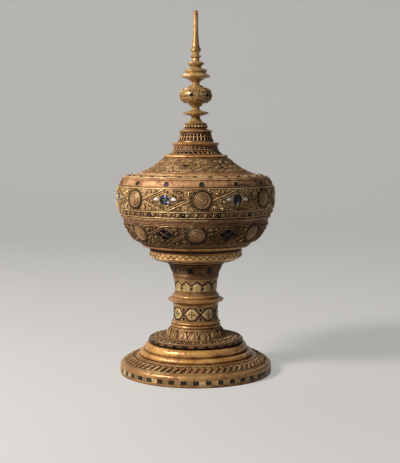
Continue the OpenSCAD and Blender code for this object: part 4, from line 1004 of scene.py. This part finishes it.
def flower_leaves():
    """Pointed mirror leaves on both sides of each flower, in place of the plain lozenges."""
    t = np.linspace(0, 1, 13)
    width = 3.9 * np.sin(math.pi * np.clip(t, 0.02, 0.98)) ** 0.8
    leaf = Pattern()
    for side in (-1, 1):
        spine = np.stack([side * (11.2 + 12 * t), 1.2 * np.sin(math.pi * t)], axis=1)
        leaf.sweep(spine, width, 0.8 + 0.5 * np.sin(math.pi * t))
    relief = Relief()
    relief.seat(leaf, FRIEZE, LID_BOSS_Z, BAYS, LID_BOSS_TURN + HALF_BAY)
    piece = relief.make("lid_flower_leaf_mirrors", "lid", LEAF_MIRROR)
    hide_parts("lid_flower_leaves")


def lid_strokes():
    """Leaning leaves with beads on a dark band of painted shade under the frieze, and settings of its
    gems.
    """
    wall = FRIEZE
    pitch = TAU * wall.mid_r / STROKES
    # The dark band is painted shade between the leaves.
    band = Relief()
    band.rail(wall, 6.4, width=9.6, height=BAND_RISE, section=FLAT)
    stroke = Pattern()
    stroke.leaf((-4.8, 1.8), (4.4, 10.8), width=4.4, height=2.6, bend=0.12)
    stroke.leaf((0.6, 2.2), (5.6, 4.6), width=2.4, height=1.2, bend=-0.2)
    stroke.bead(-3.8, 8.6, r=1.5, h=1.4)
    stroke.bead(pitch / 2 - 0.6, 7.6, r=1.1, h=1.1)
    relief = Relief()
    relief.wrap(stroke, wall, STROKES, LID_BOSS_TURN + 180 / STROKES)
    relief.rail(wall, 0.9, width=1.8, height=1.4)
    setting = Pattern()
    setting.ring(0, 0, r=4.8, half=0.9, height=1)
    dark = Relief()
    dark.seat(setting, wall, LOWER_GEM_Z, LOWER_GEMS, LID_BOSS_TURN + HALF_BAY / 2)
    band.make("lid_stroke_band", "lid", DARK_GILT_AND_SHADE)
    relief.make("lid_leaf_strokes", "lid", RELIEF)
    dark.make("lid_lower_gem_settings", "lid", BLACK)


def lid_border_lines():
    """Rings along the border, fine upright hatching and beaded settings of its gems."""
    wall = LID_BORDER
    relief = Relief()
    relief.rails(wall, (4, 0.9, 0.45), (12.6, 0.9, 0.45))
    setting = Pattern()
    for x, y in circle(0, 0, 5.4, 14):
        setting.bead(x, y, r=0.8, h=0.8, sides=7)
    relief.seat(setting, wall, BORDER_GEM_Z, BORDER_GEMS, LID_BOSS_TURN)
    hatch = Pattern()
    for i in range(-3, 4):
        hatch.sweep(line((i * 2.4, 4.8), (i * 2.4 + 0.6, 11.8), 3), half=0.5, height=0.3)
    lines = Relief()
    lines.wrap(hatch, wall, 2 * BORDER_GEMS, LID_BOSS_TURN + 90 / BORDER_GEMS)
    lines.rails(wall, (1.4, 2.2, 1.2), (15.2, 2.2, 1.2))
    gem_edge = Pattern()
    gem_edge.ring(0, 0, r=4, half=0.9, height=0.9)
    dark = Relief()
    dark.seat(gem_edge, wall, BORDER_GEM_Z, BORDER_GEMS, LID_BOSS_TURN)
    relief.make("lid_border_lines", "lid", BORDER)
    lines.make("lid_border_hatch", "lid", RUDDY)
    dark.make("lid_border_settings", "lid", BLACK)


def lid_shoulder_leaves():
    """Rings, leaves and beads of the shoulder, and dark glass over its dashes."""
    wall = SHOULDER
    pitch = TAU * wall.mid_r / DASHES
    dash_y = 10.2
    relief = Relief()
    relief.rails(wall, (1.6, 2.6, 1.6), (5, 1, 0.6), (wall.length - 2, 2.4, 1.5))
    tile = Pattern()
    for side in (-1, 1):
        tile.leaf((side * 5.5, dash_y), (side * pitch / 2, dash_y), width=4, height=1.1)
        tile.leaf((side * 1.5, 22), (side * 10.5, 17), width=3.4, height=1.1, bend=0.2 * side)
        tile.bead(side * pitch / 2 * 0.98, 20.5, r=1.6, h=1.1)
    tile.bead(0, 18.2, r=2, h=1.2)
    relief.wrap(tile, wall, DASHES)
    dash = Pattern()
    dash.leaf((-5, dash_y), (5, dash_y), width=5.4, height=2.6)
    dark = Relief()
    dark.wrap(dash, wall, DASHES)
    relief.make("lid_shoulder_leaves", "lid", RELIEF)
    dark.make("lid_shoulder_dash_glass", "lid", DARK_GLASS)


def cone_scrolls():
    """Scrolls of the cone in mirrored bays, every other one with a gem in its middle."""
    wall = CONE
    half = math.pi * wall.mid_r / (2 * BAYS)
    gem = wall.run_at(CONE_GEM_Z)
    relief = Relief()
    relief.rails(wall, (1.2, 2, 1.5), (wall.length - 1.2, 2, 1.4))

    def clear(x, y):
        return from_edges(x, y, BAY_EDGE, half - BAY_EDGE, 2.6, wall.length - 2.6)

    def clear_of_gem(x, y):
        return np.minimum(clear(x, y), from_circle(x, y, 0, gem, 5.8))

    box = (0, half, 2, wall.length - 2)
    gem_tile = Pattern()
    gem_tile.ring(0, gem, r=5, half=0.75, height=1.9)
    gem_tile.fill(clear_of_gem, box, CONE_SCROLLS, seed=21, height=1.8, mirror=True)
    plain_tile = Pattern()
    plain_tile.fill(clear, box, CONE_SCROLLS, seed=22, height=1.8, mirror=True)
    relief.wrap(gem_tile, wall, BAYS, CONE_GEM_TURN)
    relief.wrap(plain_tile, wall, BAYS, CONE_GEM_TURN + HALF_BAY)
    relief.make("lid_cone_scrolls", "lid", MID_RELIEF)


def bowl_frieze():
    """Scrolls and strands of the bowl, open round the diamonds, each with a cross over it."""
    wall = BOWL
    low = 10.4
    high = wall.length - 1.8

    def holes(x, y):
        return [(x / 17.4 + np.abs(y) / 12.4 - 1) * 10]

    tile = frieze_bay(wall, BOWL_BOSS_Z, low, high, margin=0.8, seed=31, holes=holes)
    relief = Relief()
    relief.wrap(tile, wall, BAYS, BOWL_BOSS_TURN + HALF_BAY)
    relief.rails(wall, (1.4, 2, 1.5), (4.8, 1, 0.6), (low, 2, 1.8), (high, 2, 1.8))
    cross = Pattern()
    for side in (-1, 1):
        cross.sweep(line((-side * 7.6, -5.2), (side * 7.6, 5.2), 6), half=0.45, height=1.9)
    relief.seat(cross, wall, BOWL_BOSS_Z, BAYS, BOWL_BOSS_TURN + HALF_BAY)
    relief.make("bowl_scroll_frieze", "stand", DIM_RELIEF)


def hoop_leaves():
    """Worn pointed leaves and chevrons in low relief round the hoop of the lid."""
    leaf = Pattern()
    leaf.leaf((0, 6.6), (0, 0.8), width=5, height=1.1)
    leaf.sweep(line((0.6, 1), (8, 6.4), 4), half=0.6, height=0.8)
    leaf.sweep(line((8, 6.4), (15.4, 1), 4), half=0.6, height=0.8)
    relief = Relief()
    relief.wrap(leaf, HOOP, HOOP_LEAVES)
    relief.make("lid_hoop_leaves", "lid", MID_RELIEF)


def base_recess():
    """A dark band with small beads in the recess over the flange, partly dark inlay and partly painted
    shade.
    """
    wall = BASE_RECESS
    # The black band: partly dark inlay, partly painted shade in the recess.
    band = Relief()
    band.rail(wall, wall.length / 2, width=wall.length + 1.2, height=0.15, section=FLAT)
    bead = Pattern()
    bead.bead(0, 1.9, r=1.2, h=1.0)
    relief = Relief()
    relief.wrap(bead, wall, RECESS_BEADS)
    band.make("bowl_recess_inlay_and_shade", "stand", BLACK)
    relief.make("bowl_recess_beads", "stand", DIM_RELIEF)


def flange_zigzag():
    """Dark lines in a zigzag round the upright edge of the flange, and painted shade on its underside.
    """
    edge = FLANGE_EDGE
    under = FLANGE_UNDER
    pitch = TAU * edge.mid_r / FLANGE_TEETH
    tooth = Pattern()
    for side in (-1, 1):
        tooth.sweep(line((side * pitch / 2, 1.4), (0, 7.8), 6), 1.05, 0.3, FLAT)
    drawn = Relief()
    drawn.wrap(tooth, edge, FLANGE_TEETH, FLANGE_TURN)
    # Painted shade on the underside, which faces down.
    drawn.rail(under, under.length * 0.4, under.length * 0.7, BAND_RISE, section=FLAT)
    relief = Relief()
    relief.rail(under, 6, width=1.4, height=0.8)
    relief.rails(edge, (0.4, 1.4, 0.8), (edge.length - 0.5, 1.2, 0.8))
    drawn.make("bowl_flange_lines", "stand", DARK_GILT_AND_SHADE)
    relief.make("bowl_flange_rings", "stand", BRIGHT)


def bosses():
    """Broad rings and a nipple on each boss, and beads on its frame."""
    face = Pattern()
    for r, base in ((14.5, 0.4), (11.4, 0.9), (8.1, 1.9), (5, 2.5)):
        face.ring(0, 0, r, half=1.35, height=1.2, base=base)
    face.bead(0, 0, r=2.8, h=1.9, base=2.9, sides=14)
    beads = Pattern()
    for x, y in circle(0, 0, 17.1, 34):
        beads.bead(x, y, r=1.45, h=1.5, base=0.6, sides=8)
    for name, body, wall, z, turn, material in (
        ("lid", "lid", FRIEZE, LID_BOSS_Z, LID_BOSS_TURN, MID_RELIEF),
        ("bowl", "stand", BOWL, BOWL_BOSS_Z, BOWL_BOSS_TURN, DIM_RELIEF),
    ):
        rings = Relief()
        rings.seat(face, wall, z, BAYS, turn)
        rings.make(f"{name}_boss_rings", body, material)
        studs = Relief()
        studs.seat(beads, wall, z, BAYS, turn)
        studs.make(f"{name}_boss_beads", body, SHADE)


# Ornament of the spire


def gallery_petals():
    """Rims of the holes of the gallery, with a row of beads and small leaves over them."""
    wall = GALLERY
    pitch = TAU * wall.mid_r / GALLERY_HOLES
    tile = Pattern()
    tile.ring(0, wall.run_at(GALLERY_HOLE_Z), r=3.6, half=0.55, height=0.9, steps=16)
    root = (0, wall.run_at(GALLERY_LEAF_Z))
    tile.leaf(root, (0, wall.length - 1.2), width=pitch * 0.5, height=0.9, steps=7)
    relief = Relief()
    relief.wrap(tile, wall, GALLERY_HOLES)
    bead = Pattern()
    bead.bead(0, wall.run_at(GALLERY_BEAD_Z), r=1.9, h=1.6, sides=10)
    relief.wrap(bead, wall, GALLERY_BEADS)
    relief.rail(wall, 0.9, width=1.2, height=0.9, steps=120)
    relief.rail(wall, wall.length - 0.6, width=1.2, height=0.8, steps=120)
    relief.make("spire_gallery_petals", "spire", MID_RELIEF)


def flute_ribs():
    """Upright ribs of the fluted drum, with beads between them."""
    wall = FLUTED_DRUM
    pitch = TAU * wall.mid_r / FLUTES
    tile = Pattern()
    tile.sweep(line((pitch / 2, 0.8), (pitch / 2, wall.length - 0.8), 6), half=0.95, height=1.4)
    tile.bead(0, 9.6, r=1.2, h=1.2, sides=8)
    tile.bead(0, wall.length - 1.2, r=1.2, h=1.0, sides=8)
    relief = Relief()
    relief.wrap(tile, wall, FLUTES)
    relief.rail(wall, 1, width=1.4, height=1.0, steps=96)
    relief.make("spire_flute_ribs", "spire", MID_RELIEF)


def bulb_scrolls():
    """Scrolls of the bulb round its glass eyes."""
    wall = BULB
    half = math.pi * wall.mid_r / BULB_EYES
    eye = wall.run_at(BULB_EYE_Z)
    tile = Pattern()
    tile.ring(0, eye, r=4.4, half=0.7, height=1.1, steps=20)

    def clear(x, y):
        narrow = half * np.interp(y, wall.run, wall.points[:, 0]) / wall.mid_r
        edges = from_edges(x, y, BAY_EDGE, half - BAY_EDGE, 6, wall.length - 6)
        return np.minimum.reduce([edges, narrow - x, from_circle(x, y, 0, eye, 5)])

    box = (0, half, 5, wall.length - 5)
    tile.fill(clear, box, BULB_SCROLLS, seed=41, height=1.2, mirror=True)
    relief = Relief()
    relief.wrap(tile, wall, BULB_EYES, BULB_EYE_TURN)
    relief.make("spire_bulb_scrolls", "spire", MID_RELIEF)


# Stage, lights and camera, with places in metres

PAPER = (0.80, 0.79, 0.77, 1)
PAPER_TONES = ((0.25, 0.245, 0.24), (0.28, 0.275, 0.27))
# The sheet: half its width, its near end, the bend behind the object, and its top
SHEET_HALF = 4.5
SHEET_NEAR = (-4.0, 0.0)
BEND_FOOT = (2.9, 0.0)
BEND_HEAD = (3.7, 0.8)
BEND_RISE = 0.234
SHEET_TOP = (3.7, 3.6)
# Glow of the paper, and strength of the sky where it only lights and where it is seen
PAPER_GLOW = 0.45
SKY_LIGHT = 0.05
SKY_SEEN = 0.45
WARM = (1.0, 0.95, 0.88)
SOFT = (1.0, 0.97, 0.93)
CAMERA_SPOT = (0.0085, -2.0, 0.466)
# Lens in millimetres, and dip in degrees
CAMERA_LENS = 77.75
CAMERA_DIP = 5.228


def stage():
    """A sheet of pale paper that lies on the floor and bends up behind."""
    arc = bow(BEND_FOOT, BEND_HEAD, BEND_RISE, 16)
    outline = np.vstack([[SHEET_NEAR], arc, [SHEET_TOP]])
    points = [(x, y, z) for x in (-SHEET_HALF, SHEET_HALF) for y, z in outline]
    count = len(outline)
    faces = [(i, count + i, count + i + 1, i + 1) for i in range(count - 1)]
    mesh = bpy.data.meshes.new("backdrop")
    mesh.from_pydata(points, [], faces)
    mesh.polygons.foreach_set("use_smooth", np.ones(len(faces), bool))
    sheet = bpy.data.objects.new("backdrop", mesh)
    bpy.context.scene.collection.objects.link(sheet)
    s = Shader("backdrop_paper")
    s.set(Base_Color=s.mix(s.noise(3, 3), *PAPER_TONES), Roughness=0.85)
    s.bump(s.noise(240, 3), 0.05, 0.0005)
    s.set(Emission_Color=PAPER, Emission_Strength=s.math("MULTIPLY", s.seen(), PAPER_GLOW))
    mesh.materials.append(s.material)
    sheet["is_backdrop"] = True


def lamp(name, spot, aim, size, power, colour):
    """A round soft lamp at a spot, turned towards its aim."""
    light = bpy.data.lights.new(name, "AREA")
    light.shape = "DISK"
    light.size = size
    light.energy = power
    light.color = colour
    piece = bpy.data.objects.new(name, light)
    bpy.context.scene.collection.objects.link(piece)
    piece.location = spot
    piece.rotation_euler = (Vector(aim) - piece.location).to_track_quat("-Z", "Y").to_euler()


def light_and_camera():
    """The key lamp from the left, two weaker lamps, the sky and the camera."""
    scene = bpy.context.scene
    scene.view_settings.view_transform = "Standard"
    sky = Shader("studio", world=True)
    sky.set(Color=PAPER, Strength=sky.ramp(sky.seen(), 0, 1, SKY_LIGHT, SKY_SEEN))
    scene.world = sky.material
    lamp("key", (-1.95, -1.3, 1.75), aim=(0, 0, 0.33), size=0.7, power=115, colour=WARM)
    lamp("fill", (1.9, -1.5, 0.9), aim=(0, 0, 0.3), size=1.2, power=0.8, colour=SOFT)
    lamp("back", (-0.7, 1.4, 1.9), aim=(0, 0, 0.4), size=0.9, power=6, colour=SOFT)
    camera = bpy.data.cameras.new("camera")
    camera.lens = CAMERA_LENS
    piece = bpy.data.objects.new("camera", camera)
    scene.collection.objects.link(piece)
    piece.location = CAMERA_SPOT
    piece.rotation_euler = (math.radians(90 - CAMERA_DIP), 0, 0)
    scene.camera = piece


light_and_camera()
stage()
dress_nodes()
foot_slope()
foot_lotus()
lower_drum()
upper_drum()
neck_fret()
flange_zigzag()
base_recess()
bowl_frieze()
hoop_leaves()
lid_strokes()
lid_frieze()
flower_leaves()
lid_border_lines()
lid_shoulder_leaves()
cone_scrolls()
bosses()
gallery_petals()
flute_ribs()
bulb_scrolls()

sizes = {"cad": cad_box, "visual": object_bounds()}
{k: [[float(c) for c in corner] for corner in v] for k, v in sizes.items()}
